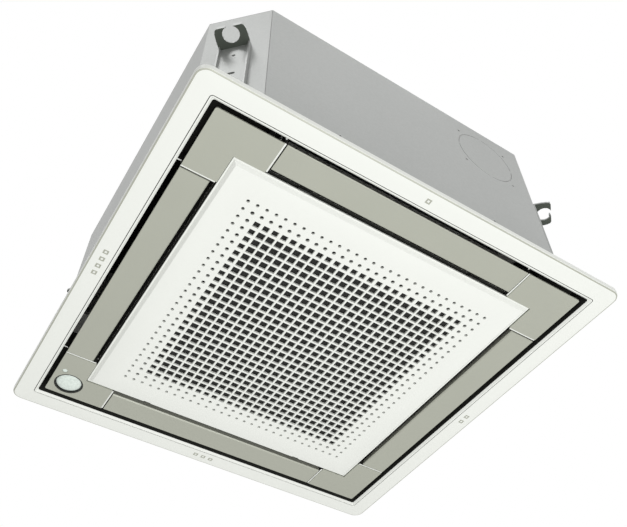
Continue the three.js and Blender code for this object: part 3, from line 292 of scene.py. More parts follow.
def clone(piece, name, placing):
    """A copy with a mesh of its own, placed by a matrix."""
    copy = bpy.data.objects.new(name, piece.data.copy())
    bpy.context.scene.collection.objects.link(copy)
    copy.matrix_world = placing
    return settle(copy)


def cut(piece, cutter):
    apply_modifier(piece, "BOOLEAN", operation="DIFFERENCE", solver="EXACT", object=cutter)
    bpy.data.objects.remove(cutter)


def block(name, low, high):
    centre = (Vector(low) + Vector(high)) / 2
    bpy.ops.object.select_all(action="DESELECT")
    bpy.ops.mesh.primitive_cube_add(size=1, location=centre)
    piece = bpy.context.view_layer.objects.active
    piece.scale = Vector(high) - Vector(low)
    return added(name)


def node_copy(node, name):
    """A copy of a solid, with the vertices that lie on one place merged."""
    source = frame["nodes"][node]
    piece = bpy.data.objects.new(name, source.data.copy())
    bpy.context.scene.collection.objects.link(piece)
    only(piece)
    bpy.ops.mesh.customdata_custom_splitnormals_clear()
    edit(piece)
    bpy.ops.mesh.remove_doubles(threshold=MERGE / 10)
    leave()
    piece.data.materials.clear()
    return piece


def made_whole(piece):
    """Joins the triangles of every flat face into as few convex faces as will do."""
    edit(piece)
    bpy.ops.mesh.dissolve_limited(angle_limit=FLAT)
    bpy.ops.mesh.vert_connect_concave()
    leave()
    return piece


def soften(piece, width, segments=2):
    """Rounds the sharp edges and weights the normals towards the large faces."""
    apply_modifier(piece, "BEVEL", width=width, segments=segments, limit_method="ANGLE",
                   angle_limit=SHARP, use_clamp_overlap=True, miter_outer="MITER_ARC")
    only(piece)
    bpy.ops.object.shade_smooth_by_angle(angle=SMOOTH)
    apply_modifier(piece, "WEIGHTED_NORMAL", keep_sharp=True, weight=60)


def dressed(node, width):
    """A softened piece that stands for one solid, in the finish of its slot."""
    piece = made_whole(node_copy(node, f"{node}_dressed"))
    soften(piece, width)
    finish_with(piece, node)
    return piece


def finish_with(piece, node):
    """Gives a piece the finish, the body and the slot of the solid it stands for."""
    piece.data.materials.clear()
    piece.data.materials.append(FINISHES[SLOT_OF[node]])
    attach(piece, frame["nodes"][node]["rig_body"])
    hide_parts(node)


# ---------------------------------------------------------------- node groups for the finishes


def new_group(name, inputs, outputs):
    """A shader node group with named sockets: (label, kind, default) in, (label, kind) out."""
    tree = bpy.data.node_groups.new(name, "ShaderNodeTree")
    for label, kind, default in inputs:
        socket = tree.interface.new_socket(name=label, in_out="INPUT", socket_type=kind)
        if default is not None:
            socket.default_value = default
    for label, kind in outputs:
        tree.interface.new_socket(name=label, in_out="OUTPUT", socket_type=kind)
    return tree, tree.nodes.new("NodeGroupInput"), tree.nodes.new("NodeGroupOutput")


def add(tree, kind, inputs=None, **settings):
    """A node with its settings, and its inputs set to values or linked to sockets."""
    made = tree.nodes.new(kind)
    for name, value in settings.items():
        setattr(made, name, value)
    for name, value in (inputs or {}).items():
        if isinstance(value, bpy.types.NodeSocket):
            tree.links.new(value, made.inputs[name])
        else:
            made.inputs[name].default_value = value
    return made


def arithmetic(tree, operation, first, second=0.0, third=0.0):
    made = add(tree, "ShaderNodeMath", {0: first, 1: second}, operation=operation)
    if operation == "MULTIPLY_ADD":
        made.inputs[2].default_value = third
    return made.outputs[0]


def spread(tree, value, low, high, from_low=0.0, from_high=1.0):
    """A value carried from one range to another, and kept inside it."""
    return add(tree, "ShaderNodeMapRange", {
        "Value": value, "From Min": from_low, "From Max": from_high, "To Min": low, "To Max": high,
    }).outputs["Result"]


def blend_colours(tree, factor, first, second, mode="MIX"):
    made = add(tree, "ShaderNodeMix", data_type="RGBA", blend_type=mode)
    for socket, value in ((made.inputs[0], factor), (made.inputs[6], first), (made.inputs[7], second)):
        if isinstance(value, bpy.types.NodeSocket):
            tree.links.new(value, socket)
        else:
            socket.default_value = value
    return made.outputs[2]


def moulded_grain_group():
    """The fine spark-eroded grain of a moulding, and a faint unevenness of its colour."""
    tree, source, target = new_group("Moulded grain", [
        ("Position", "NodeSocketVector", None), ("Grain", "NodeSocketFloat", 1800.0),
        ("Unevenness", "NodeSocketFloat", 0.03),
    ], [("Height", "NodeSocketFloat"), ("Shade", "NodeSocketFloat")])
    fine = add(tree, "ShaderNodeTexNoise", {
        "Vector": source.outputs["Position"], "Scale": source.outputs["Grain"], "Detail": 2.0,
        "Roughness": 0.6,
    })
    broad = add(tree, "ShaderNodeTexNoise", {
        "Vector": source.outputs["Position"], "Scale": 9.0, "Detail": 3.0,
    })
    centred = arithmetic(tree, "SUBTRACT", broad.outputs["Fac"], 0.5)
    swing = arithmetic(tree, "MULTIPLY", centred, source.outputs["Unevenness"])
    tree.links.new(fine.outputs["Fac"], target.inputs["Height"])
    tree.links.new(arithmetic(tree, "ADD", swing, 1.0), target.inputs["Shade"])
    return tree


def handling_group():
    """Roughness that wanders a little, as on a surface that has been wiped and handled."""
    tree, source, target = new_group("Handling marks", [
        ("Position", "NodeSocketVector", None), ("Roughness", "NodeSocketFloat", 0.4),
        ("Swing", "NodeSocketFloat", 0.12),
    ], [("Roughness", "NodeSocketFloat")])
    smears = add(tree, "ShaderNodeTexNoise", {
        "Vector": source.outputs["Position"], "Scale": 24.0, "Detail": 4.0, "Distortion": 0.8,
    })
    centred = arithmetic(tree, "SUBTRACT", smears.outputs["Fac"], 0.5)
    swing = arithmetic(tree, "MULTIPLY", centred, source.outputs["Swing"])
    tree.links.new(arithmetic(tree, "ADD", swing, source.outputs["Roughness"]), target.inputs["Roughness"])
    return tree


def dust_group():
    """Dust that settles unevenly on faces that look upwards."""
    tree, source, target = new_group("Settled dust", [
        ("Position", "NodeSocketVector", None), ("Colour", "NodeSocketColor", None),
        ("Dust", "NodeSocketColor", None), ("Amount", "NodeSocketFloat", 0.35),
    ], [("Colour", "NodeSocketColor"), ("Mask", "NodeSocketFloat")])
    normal = add(tree, "ShaderNodeNewGeometry").outputs["Normal"]
    facing = add(tree, "ShaderNodeSeparateXYZ", {"Vector": normal})
    upward = spread(tree, facing.outputs["Z"], 0.0, 1.0, 0.5, 1.0)
    drift = add(tree, "ShaderNodeTexNoise", {
        "Vector": source.outputs["Position"], "Scale": 14.0, "Detail": 6.0, "Roughness": 0.65,
    })
    patchy = spread(tree, drift.outputs["Fac"], 0.2, 1.0, 0.35, 0.7)
    settled = arithmetic(tree, "MULTIPLY", upward, patchy)
    mask = arithmetic(tree, "MULTIPLY", settled, source.outputs["Amount"])
    mixed = blend_colours(tree, mask, source.outputs["Colour"], source.outputs["Dust"])
    tree.links.new(mixed, target.inputs["Colour"])
    tree.links.new(mask, target.inputs["Mask"])
    return tree


def spangle_group():
    """Zinc crystals of a hot-dipped coating, with broad faint blotches."""
    tree, source, target = new_group("Zinc spangle", [
        ("Position", "NodeSocketVector", None), ("Crystals", "NodeSocketFloat", 420.0),
        ("Light", "NodeSocketColor", None), ("Dull", "NodeSocketColor", None),
    ], [("Colour", "NodeSocketColor"), ("Mask", "NodeSocketFloat"), ("Height", "NodeSocketFloat")])
    wander = add(tree, "ShaderNodeTexNoise", {"Vector": source.outputs["Position"], "Scale": 60.0})
    bent = add(tree, "ShaderNodeVectorMath", {0: wander.outputs["Color"], 1: (0.004, 0.004, 0.004)},
               operation="MULTIPLY")
    moved = add(tree, "ShaderNodeVectorMath", {0: source.outputs["Position"], 1: bent.outputs[0]},
                operation="ADD")
    crystals = add(tree, "ShaderNodeTexVoronoi", {
        "Vector": moved.outputs[0], "Scale": source.outputs["Crystals"],
    })
    tone = add(tree, "ShaderNodeSeparateColor", {"Color": crystals.outputs["Color"]}).outputs[0]
    broad = add(tree, "ShaderNodeTexNoise", {
        "Vector": source.outputs["Position"], "Scale": 5.0, "Detail": 2.0,
    })
    mask = arithmetic(tree, "MULTIPLY", broad.outputs["Fac"], 0.7)
    mask = arithmetic(tree, "ADD", mask, arithmetic(tree, "MULTIPLY", tone, 0.3))
    mixed = blend_colours(tree, mask, source.outputs["Dull"], source.outputs["Light"])
    tree.links.new(mixed, target.inputs["Colour"])
    tree.links.new(mask, target.inputs["Mask"])
    tree.links.new(crystals.outputs["Distance"], target.inputs["Height"])
    return tree


def grid_group():
    """Crossing threads on the X and Y axes, as a mask that is 1 on a thread."""
    tree, source, target = new_group("Crossing threads", [
        ("Position", "NodeSocketVector", None), ("Pitch", "NodeSocketFloat", 0.0012),
        ("Thread", "NodeSocketFloat", 0.35),
    ], [("Mask", "NodeSocketFloat")])
    split = add(tree, "ShaderNodeSeparateXYZ", {"Vector": source.outputs["Position"]})
    lines = []
    for axis in ("X", "Y"):
        steps = arithmetic(tree, "DIVIDE", split.outputs[axis], source.outputs["Pitch"])
        within = arithmetic(tree, "FRACT", steps)
        lines.append(arithmetic(tree, "LESS_THAN", within, source.outputs["Thread"]))
    tree.links.new(arithmetic(tree, "MAXIMUM", *lines), target.inputs["Mask"])
    return tree


class Finishes(dict):
    """The finishes by slot name, with the node groups that they share."""

    def __init__(self, colours):
        super().__init__()
        self.colours = colours
        self.grain = moulded_grain_group()
        self.handling = handling_group()
        self.dust = dust_group()
        self.spangle = spangle_group()
        self.threads = grid_group()

    def start(self, name):
        """A material with its shader and the piece's own coordinates."""
        material = bpy.data.materials.new(name)
        material.use_nodes = True
        tree = material.node_tree
        place = add(tree, "ShaderNodeTexCoord").outputs["Object"]
        return material, tree, tree.nodes["Principled BSDF"], place

    def placed(self, tree, group, **inputs):
        made = add(tree, "ShaderNodeGroup", node_tree=group)
        for name, value in inputs.items():
            if isinstance(value, bpy.types.NodeSocket):
                tree.links.new(value, made.inputs[name])
            else:
                made.inputs[name].default_value = value
        return made

    def dusted(self, tree, place, colour_socket, amount):
        """A colour with dust on the faces that look upwards."""
        settled = self.placed(tree, self.dust, Position=place, Colour=colour_socket,
                              Dust=rgba(self.colours.dust), Amount=amount)
        return settled.outputs["Colour"]

    def relief(self, tree, shader, height, strength, distance):
        bump = add(tree, "ShaderNodeBump", {"Height": height, "Strength": strength, "Distance": distance})
        tree.links.new(bump.outputs["Normal"], shader.inputs["Normal"])

    def wandering(self, tree, shader, place, roughness, swing):
        marks = self.placed(tree, self.handling, Position=place, Roughness=roughness, Swing=swing)
        tree.links.new(marks.outputs["Roughness"], shader.inputs["Roughness"])


def rgba(colour_value):
    return (*colour_value, 1.0)


def toned(tree, base, tone):
    """A colour made darker or lighter by a tone, which is 1 where the colour stays."""
    shade = add(tree, "ShaderNodeCombineColor", {"Red": tone, "Green": tone, "Blue": tone})
    return blend_colours(tree, 1.0, rgba(base), shade.outputs["Color"], "MULTIPLY")


def moulding(finishes, name, base, roughness, grain=1800.0, depth=0.00003, metallic=0.0, dust=0.0,
             unevenness=0.03):
    """Injection-moulded plastic or paint: fine grain, faint unevenness, handled gloss, some dust."""
    material, tree, shader, place = finishes.start(name)
    grains = finishes.placed(tree, finishes.grain, Position=place, Grain=grain, Unevenness=unevenness)
    surface = toned(tree, base, grains.outputs["Shade"])
    if dust:
        surface = finishes.dusted(tree, place, surface, dust)
    tree.links.new(surface, shader.inputs["Base Color"])
    shader.inputs["Metallic"].default_value = metallic
    finishes.wandering(tree, shader, place, roughness, 0.12)
    finishes.relief(tree, shader, grains.outputs["Height"], 0.35, depth)
    return material


def zinc_sheet(finishes, name, light, dull, roughness, metallic, dust):
    """Zinc-coated sheet with its crystals and a satin gloss."""
    material, tree, shader, place = finishes.start(name)
    spangle = finishes.placed(tree, finishes.spangle, Position=place, Light=rgba(light), Dull=rgba(dull))
    surface = finishes.dusted(tree, place, spangle.outputs["Colour"], dust)
    tree.links.new(surface, shader.inputs["Base Color"])
    shine = arithmetic(tree, "MULTIPLY_ADD", spangle.outputs["Mask"], -0.06, roughness)
    tree.links.new(shine, shader.inputs["Roughness"])
    shader.inputs["Metallic"].default_value = metallic
    finishes.relief(tree, shader, spangle.outputs["Height"], 0.06, 0.00002)
    return material


def bead_foam(finishes, name, base, beads=230.0):
    """Moulded bead foam: rounded beads with darker joints."""
    material, tree, shader, place = finishes.start(name)
    cells = add(tree, "ShaderNodeTexVoronoi", {"Vector": place, "Scale": beads})
    joint = spread(tree, cells.outputs["Distance"], 1.0, 0.86, 0.25, 0.75)
    surface = finishes.dusted(tree, place, toned(tree, base, joint), 0.25)
    tree.links.new(surface, shader.inputs["Base Color"])
    finishes.wandering(tree, shader, place, 0.85, 0.1)
    height = arithmetic(tree, "MULTIPLY", cells.outputs["Distance"], -1.0)
    finishes.relief(tree, shader, height, 0.5, 0.0004)
    return material


def pored_foam(finishes, name, base):
    """Closed-cell foam or rubber with fine pores."""
    material, tree, shader, place = finishes.start(name)
    pores = add(tree, "ShaderNodeTexVoronoi", {"Vector": place, "Scale": 900.0})
    tone = spread(tree, pores.outputs["Distance"], 0.75, 1.15)
    tree.links.new(toned(tree, base, tone), shader.inputs["Base Color"])
    finishes.wandering(tree, shader, place, 0.92, 0.08)
    finishes.relief(tree, shader, pores.outputs["Distance"], 0.6, 0.0002)
    return material


def woven_net(finishes, name, base):
    """Fine filter net: black threads over a darker ground."""
    material, tree, shader, place = finishes.start(name)
    threads = finishes.placed(tree, finishes.threads, Position=place, Pitch=0.0016, Thread=0.35)
    ground = rgba([value * 0.25 for value in base])
    surface = blend_colours(tree, threads.outputs["Mask"], ground, rgba(base))
    tree.links.new(surface, shader.inputs["Base Color"])
    finishes.wandering(tree, shader, place, 0.7, 0.1)
    finishes.relief(tree, shader, threads.outputs["Mask"], 0.8, 0.0002)
    return material


def fin_block(finishes, name, base):
    """Aluminium fins that stand across the run of the coil, as fine upright lines, with painted shade
    darkening the gaps between the fins.
    """
    material, tree, shader, place = finishes.start(name)
    split = add(tree, "ShaderNodeSeparateXYZ", {"Vector": place})
    facing = add(tree, "ShaderNodeSeparateXYZ", {
        "Vector": add(tree, "ShaderNodeNewGeometry").outputs["Normal"],
    })
    along_x = arithmetic(tree, "ABSOLUTE", facing.outputs["Y"])
    along_y = arithmetic(tree, "ABSOLUTE", facing.outputs["X"])
    lines = []
    for axis, weight in (("X", along_x), ("Y", along_y)):
        steps = arithmetic(tree, "DIVIDE", split.outputs[axis], 0.0016)
        wave = arithmetic(tree, "PINGPONG", steps, 0.5)
        lines.append(arithmetic(tree, "MULTIPLY", wave, weight))
    height = arithmetic(tree, "MAXIMUM", *lines)
    # Painted shade: the colour is darker in the gaps between the fins.
    tone = spread(tree, height, 0.25, 1.0, 0.05, 0.4)
    tree.links.new(toned(tree, base, tone), shader.inputs["Base Color"])
    shader.inputs["Metallic"].default_value = 0.85
    finishes.wandering(tree, shader, place, 0.4, 0.12)
    finishes.relief(tree, shader, height, 0.7, 0.0006)
    return material


def bare_metal(finishes, name, base, roughness, tarnish):
    """Bare drawn or turned metal with patches of tarnish and fine drawing lines."""
    material, tree, shader, place = finishes.start(name)
    patches = add(tree, "ShaderNodeTexNoise", {"Vector": place, "Scale": 70.0, "Detail": 5.0})
    mask = spread(tree, patches.outputs["Fac"], 0.0, 1.0, 0.4, 0.7)
    surface = blend_colours(tree, mask, rgba(base), rgba([value * tarnish for value in base]))
    tree.links.new(surface, shader.inputs["Base Color"])
    shader.inputs["Metallic"].default_value = 1.0
    tree.links.new(spread(tree, mask, roughness, roughness + 0.22), shader.inputs["Roughness"])
    lines = add(tree, "ShaderNodeTexNoise", {
        "Vector": add(tree, "ShaderNodeMapping", {"Vector": place, "Scale": (0.02, 1.0, 1.0)}).outputs[0],
        "Scale": 2600.0,
    })
    finishes.relief(tree, shader, lines.outputs["Fac"], 0.2, 0.00003)
    return material


def milky_dome(finishes, name, base):
    """Milky infrared-clear plastic with small moulded lens facets."""
    material, tree, shader, place = finishes.start(name)
    facets = add(tree, "ShaderNodeTexVoronoi", {"Vector": place, "Scale": 330.0}, feature="SMOOTH_F1")
    tone = spread(tree, facets.outputs["Distance"], 1.0, 0.82, 0.2, 0.8)
    tree.links.new(toned(tree, base, tone), shader.inputs["Base Color"])
    shader.inputs["Coat Weight"].default_value = 0.35
    shader.inputs["Coat Roughness"].default_value = 0.12
    finishes.wandering(tree, shader, place, 0.3, 0.08)
    height = arithmetic(tree, "MULTIPLY", facets.outputs["Distance"], -1.0)
    finishes.relief(tree, shader, height, 0.35, 0.0006)
    return material


def lacquered_board(finishes, name, base):
    """Circuit board: lacquer over a net of tracks."""
    material, tree, shader, place = finishes.start(name)
    tracks = add(tree, "ShaderNodeTexBrick", {
        "Vector": place, "Scale": 60.0, "Mortar Size": 0.03, "Color1": (0, 0, 0, 1), "Color2": (0, 0, 0, 1),
        "Mortar": (1, 1, 1, 1),
    })
    bright = rgba([min(value * 2.2, 1.0) for value in base])
    surface = blend_colours(tree, tracks.outputs["Fac"], rgba(base), bright)
    tree.links.new(surface, shader.inputs["Base Color"])
    finishes.wandering(tree, shader, place, 0.35, 0.1)
    finishes.relief(tree, shader, tracks.outputs["Fac"], 0.3, 0.00004)
    return material


def make_finishes(colours):
    """One finish for each material slot of the record, a dark finish that lines the ducts and is also
    painted shade in the recess gaps and on the groove floor, and a dark zinc that is painted shade on the
    hanger tabs.
    """
    finishes = Finishes(colours)
    finishes["white_plastic"] = moulding(finishes, "white moulding", colours.white, 0.42, dust=0.2)
    finishes["silver_plastic"] = moulding(finishes, "silver moulding", colours.silver, 0.38, metallic=0.15,
                                          dust=0.1, unevenness=0.05)
    finishes["galvanised_sheet"] = zinc_sheet(finishes, "zinc-coated sheet", colours.zinc_light,
                                              colours.zinc_dark, 0.46, 0.45, 0.3)
    finishes["bracket_steel"] = zinc_sheet(finishes, "zinc-coated bracket", colours.zinc_light,
                                           colours.zinc_dark, 0.42, 0.5, 0.2)
    # Painted shade: a dark zinc for the hanger tabs' flat faces.
    finishes["hanger_tab_painted_shade"] = zinc_sheet(finishes, "dull hanger tab", colours.tab, colours.tab, 0.6, 0.4, 0.2)
    finishes["white_foam"] = bead_foam(finishes, "bead foam", colours.foam)
    finishes["dark_foam"] = pored_foam(finishes, "closed-cell foam", colours.dark_foam)
    finishes["black_plastic"] = moulding(finishes, "black moulding", colours.black, 0.45, dust=0.15)
    finishes["filter_net"] = woven_net(finishes, "filter net", colours.black)
    finishes["fan_plastic"] = moulding(finishes, "fan moulding", colours.fan, 0.5, grain=900.0, dust=0.25,
                                       unevenness=0.08)
    finishes["motor_paint"] = moulding(finishes, "motor paint", colours.motor, 0.42, grain=700.0,
                                       depth=0.00008, metallic=0.3, dust=0.3)
    finishes["rubber"] = pored_foam(finishes, "black rubber", colours.black)
    finishes["coil_fins"] = fin_block(finishes, "aluminium fins", colours.fins)
    finishes["copper"] = bare_metal(finishes, "bare copper", colours.copper, 0.25, 0.55)
    finishes["brass"] = bare_metal(finishes, "turned brass", colours.brass, 0.22, 0.7)
    finishes["dome_plastic"] = milky_dome(finishes, "milky dome", colours.dome)
    finishes["board"] = lacquered_board(finishes, "circuit board", colours.board)
    # The dark finish that lines the ducts, and painted shade on the recess gaps and the groove floor.
    finishes["lining_and_shade"] = pored_foam(finishes, "duct lining", colours.lining_and_shade)
    return finishes


FINISHES = {}


# ---------------------------------------------------------------- forms of this object


def ring_tile(name, outer, hole, low, high, round_hole, chamfer=0.0):
    """A square tile with a square or round hole, open at its outer sides and centred on the Z axis."""
    def is_outer(place):
        return place.xy.length > outer / 2 - MERGE

    start = low + chamfer
    bpy.ops.object.select_all(action="DESELECT")
    bpy.ops.mesh.primitive_cylinder_add(vertices=8, radius=hole / 2, depth=high - start,
                                        location=(0, 0, (start + high) / 2), end_fill_type="NOTHING")
    tile = added(name)
    edit(tile)
    if not round_hole:
        square_up(tile)
    if chamfer:
        widen(tile, start, (hole + 2 * chamfer) / hole)
        bpy.ops.transform.translate(value=(0, 0, -chamfer))
    for level, width in ((low, hole + 2 * chamfer), (high, hole)):
        widen(tile, level, outer / width)
        if round_hole:
            square_up(tile, lambda place: is_outer(place) and abs(place.z - level) < MERGE)
    leave()
    return tile


def widen(tile, level, reach):
    """Extrudes the open ring at a level and draws the new ring outwards about the Z axis."""
    pick_edges(tile, lambda place: abs(place.z - level) < MERGE)
    bpy.ops.mesh.extrude_edges_move()
    bpy.ops.transform.resize(value=(reach, reach, 1), center_override=(0, 0, level))


def square_up(tile, wanted=lambda place: True):
    """Draws the diagonal vertices of an eight-sided ring out to the corners of its square."""
    pick_vertices(tile, lambda place: wanted(place) and abs(abs(place.x) - abs(place.y)) < MERGE)
    root = math.sqrt(2)
    bpy.ops.transform.resize(value=(root, root, 1), center_override=(0, 0, 0))


def repeated(tile, count, step, axis):
    offset = [0.0, 0.0, 0.0]
    offset[axis] = step
    apply_modifier(tile, "ARRAY", count=count, use_relative_offset=False, use_constant_offset=True,
                   constant_offset_displace=offset, use_merge_vertices=True, merge_threshold=MERGE)


def moved(piece, x, y):
    only(piece)
    bpy.ops.transform.translate(value=(x, y, 0))
    return settle(piece)


def four_turns(piece):
    """The piece and three copies, turned by quarters about the Z axis."""
    return [piece] + [clone(piece, f"{piece.name}_{turn}", Matrix.Rotation(turn * QUARTER, 4, "Z"))
                      for turn in (1, 2, 3)]


def closed(piece):
    """Bridges the open outer edges of a plate and points every face outwards."""
    edit(piece)
    bpy.ops.mesh.remove_doubles(threshold=MERGE)
    bpy.ops.mesh.select_mode(type="EDGE")
    bpy.ops.mesh.select_all(action="DESELECT")
    bpy.ops.mesh.select_non_manifold(extend=False, use_wire=False, use_boundary=True, use_multi_face=False,
                                     use_non_contiguous=False, use_verts=False)
    bpy.ops.mesh.bridge_edge_loops()
    bpy.ops.mesh.select_all(action="SELECT")
    bpy.ops.mesh.normals_make_consistent(inside=False)
    leave()
    return piece


def lattice(sizes):
    """The perforated plate: squares in the middle, a ring of small squares, two rings of dots."""
    pitch = sizes.pitch
    outermost = (sizes.rows - 1) // 2
    inside = sizes.rows - 6
    middle = ring_tile("lattice_squares", pitch, sizes.square, FACE_Z, PLATE_BACK, False, sizes.chamfer)
    moved(middle, -pitch * (inside - 1) / 2, -pitch * (inside - 1) / 2)
    repeated(middle, inside, pitch, 0)
    repeated(middle, inside, pitch, 1)
    plates = [middle]
    rings = ((2, sizes.small_square, False), (1, sizes.large_dot, True), (0, sizes.small_dot, True))
    for inset, hole, is_round in rings:
        index = outermost - inset
        row = ring_tile(f"lattice_ring_{inset}", pitch, hole, FACE_Z, PLATE_BACK, is_round, sizes.chamfer)
        moved(row, -pitch * index, -pitch * index)
        repeated(row, 2 * index, pitch, 0)
        plates += four_turns(row)
    return closed(join("suction_lattice", *plates))


def mark_cutter(sizes):
    """A square ring that sinks one outlet mark into the rim's face."""
    tile = ring_tile("mark", sizes.mark, sizes.mark * 0.42, FACE_Z - MM, FACE_Z + sizes.mark_depth, False)
    return closed(tile)


def outlet_marks(sizes):
    """One mark on the front rim, two on the right, three at the back and four on the left."""
    mark = mark_cutter(sizes)
    reach = RIM_HALF - sizes.mark_inset
    marks = []
    for turn, side in enumerate(SIDES):
        count = turn + 1
        for index in range(count):
            along = (index - turn / 2) * sizes.mark_pitch
            placing = Matrix.Rotation(turn * QUARTER, 4, "Z") @ Matrix.Translation((along, -reach, 0))
            marks.append(clone(mark, f"mark_{side}_{index}", placing))
    bpy.data.objects.remove(mark)
    return join("outlet_marks", *marks)


def refinish(piece, finish, wanted):
    """Gives the faces that pass the test another finish."""
    piece.data.materials.append(FINISHES[finish])
    edit(piece, "FACE")
    pick_faces(piece, wanted)
    piece.active_material_index = len(piece.data.materials) - 1
    bpy.ops.object.material_slot_assign()
    leave()


def reaches(places):
    """How far each place is from the middle, square to the panel's sides."""
    return [max(abs(place.x), abs(place.y)) for place in places]


def mean_depth(places):
    return sum(place.z - FACE_Z for place in places) / len(places)


def in_recess(places, normal):
    """Whether a face is seen from below in the recess, and isn't the face of a rib; these faces are painted
    dark, as a duct lined dark and as painted shade in the gaps.
    """
    if normal.z > 0.5 or mean_depth(places) < RECESS_DEPTH or max(reaches(places)) > RECESS_EDGE:
        return False
    off_rib = [abs(min(abs(place.x), abs(place.y)) - RIB_MIDDLE) for place in places]
    return not looks_down(normal) or max(off_rib) > RIB_HALF


def looks_down(normal):
    return normal.z <= -0.9


# The groove's floor is darkened as painted shade, so that the thin groove line shows.
def is_groove_floor(places, normal):
    reach = reaches(places)
    is_between = GROOVE_INSIDE < min(reach) and max(reach) < GROOVE_OUTSIDE
    return looks_down(normal) and is_between and mean_depth(places) > SUNK


# Faces painted dark: the duct recess, lined dark and partly painted shade, and the groove floor, painted
# shade.
def is_lined_or_shaded(places, normal):
    return in_recess(places, normal) or is_groove_floor(places, normal)


def is_mark_floor(places, normal):
    return looks_down(normal) and min(reaches(places)) > MARKS_INSIDE and mean_depth(places) > SUNK


# Flat faces of a hanger tab, which are painted dark as painted shade.
def is_shaded_tab_face(places, normal):
    return abs(normal.z) > 0.9 and min(place.z for place in places) > TAB_Z


def screw_head(sizes):
    """A pan head with a cross recess, its seat on the plane z = 0 and its face up."""
    radius = sizes.screw_head / 2
    bpy.ops.object.select_all(action="DESELECT")
    bpy.ops.mesh.primitive_cylinder_add(vertices=20, radius=radius, depth=sizes.screw_height,
                                        location=(0, 0, sizes.screw_height / 2))
    head = added("casing_screw")
    edit(head)
    pick_edges(head, lambda place: place.z > sizes.screw_height - MERGE)
    bpy.ops.mesh.bevel(offset=sizes.screw_height * 0.55, segments=3)
    leave()
    arm, width = radius * 0.55, radius * 0.11
    floor = sizes.screw_height * 0.4
    along = block("cross_along", (-arm, -width, floor), (arm, width, 2 * sizes.screw_height))
    across = block("cross_across", (-width, -arm, floor), (width, arm, 2 * sizes.screw_height))
    cut(head, along)
    cut(head, across)
    return head


def screw_places():
    """Where the casing's screws sit, as a seat and the direction that the head faces."""
    seats = []
    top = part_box("top_plate")[1].z
    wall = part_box("side_plate_front")[0].y
    for turn, side in enumerate(SIDES):
        turned = Matrix.Rotation(turn * QUARTER, 3, "Z")
        rows = [LOW_SCREWS]
        if side in ("right", "back"):
            rows.append((TOP_SCREWS_X, top - TOP_SCREWS_DROP))
        for x, z in rows:
            seats.append((turned @ Vector((-x, wall, z)), turned @ Vector((0, -1, 0))))
            seats.append((turned @ Vector((x, wall, z)), turned @ Vector((0, -1, 0))))
    low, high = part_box("pipe_cover_plate")
    for y in (low.y + COVER_SCREWS[0], high.y - COVER_SCREWS[0]):
        for z in (low.z + COVER_SCREWS[1], high.z - COVER_SCREWS[1]):
            seats.append((Vector((high.x, y, z)), Vector((1, 0, 0))))
    return seats


def sensor_dome():
    """A smooth dome in the sensor's bore, on a short straight collar."""
    low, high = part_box("sensor_lens")
    centre = (low + high) / 2
    radius = (high.x - low.x) / 2
    collar = MM
    foot = Vector((centre.x, centre.y, high.z - collar))
    bpy.ops.object.select_all(action="DESELECT")
    bpy.ops.mesh.primitive_uv_sphere_add(segments=48, ring_count=24, radius=radius, location=foot)
    dome = bpy.context.view_layer.objects.active
    dome.scale = (1, 1, (foot.z - low.z) / radius)
    dome = added("sensor_dome")
    edit(dome)
    bpy.ops.mesh.bisect(plane_co=foot, plane_no=(0, 0, 1), clear_outer=True, use_fill=False)
    pick_edges(dome, lambda place: abs(place.z - foot.z) < MERGE)
    bpy.ops.mesh.extrude_edges_move()
    bpy.ops.transform.translate(value=(0, 0, collar))
    bpy.ops.mesh.edge_face_add()
    bpy.ops.mesh.select_all(action="SELECT")
    bpy.ops.mesh.normals_make_consistent(inside=False)
    leave()
    only(dome)
    bpy.ops.object.shade_smooth_by_angle(angle=SHARP)
    return dome


# ---------------------------------------------------------------- operators


class CASSETTE_OT_finishes(bpy.types.Operator):
    """Makes the finishes and gives every solid the finish of its slot"""
    bl_idname = "cassette.finishes"
    bl_label = "Finishes"

    def execute(self, context):
        FINISHES.update(make_finishes(context.scene.cassette_colours))
        for node, piece in frame["nodes"].items():
            for slot in piece.material_slots:
                slot.material = FINISHES[SLOT_OF[node]]
        return {"FINISHED"}


class CASSETTE_OT_panel(bpy.types.Operator):
    """Rounds the panel's rim, sinks the outlet marks, lines the ducts dark and paints shade into the recess
    gaps and the groove
    """
    bl_idname = "cassette.panel"
    bl_label = "Panel frame"

    def execute(self, context):
        sizes = context.scene.cassette_edges
        panel = node_copy("panel_frame", "panel_rim")
        cut(panel, outlet_marks(sizes))
        made_whole(panel)
        soften(panel, sizes.panel)
        finish_with(panel, "panel_frame")
        # Painted dark: the recess, partly as painted shade, and the groove floor as painted shade.
        refinish(panel, "lining_and_shade", is_lined_or_shaded)
        refinish(panel, "silver_plastic", is_mark_floor)
        return {"FINISHED"}


class CASSETTE_OT_inserts(bpy.types.Operator):
    """Rounds the flaps and the corner covers"""
    bl_idname = "cassette.inserts"
    bl_label = "Flaps and corner covers"

    def execute(self, context):
        sizes = context.scene.cassette_edges
        for side in SIDES:
            dressed(f"flap_{side}", sizes.moulded)
        for corner in CORNERS:
            dressed(f"corner_cover_{corner}", sizes.moulded)
        return {"FINISHED"}


class CASSETTE_OT_sensor(bpy.types.Operator):
    """Makes the sensor's dome and rounds its housing and the receiver"""
    bl_idname = "cassette.sensor"
    bl_label = "Sensor"

    def execute(self, context):
        sizes = context.scene.cassette_edges
        dome = sensor_dome()
        finish_with(dome, "sensor_lens")
        dressed("sensor_housing", sizes.moulded)
        dressed("receiver_lens", sizes.moulded * 0.5)
        return {"FINISHED"}


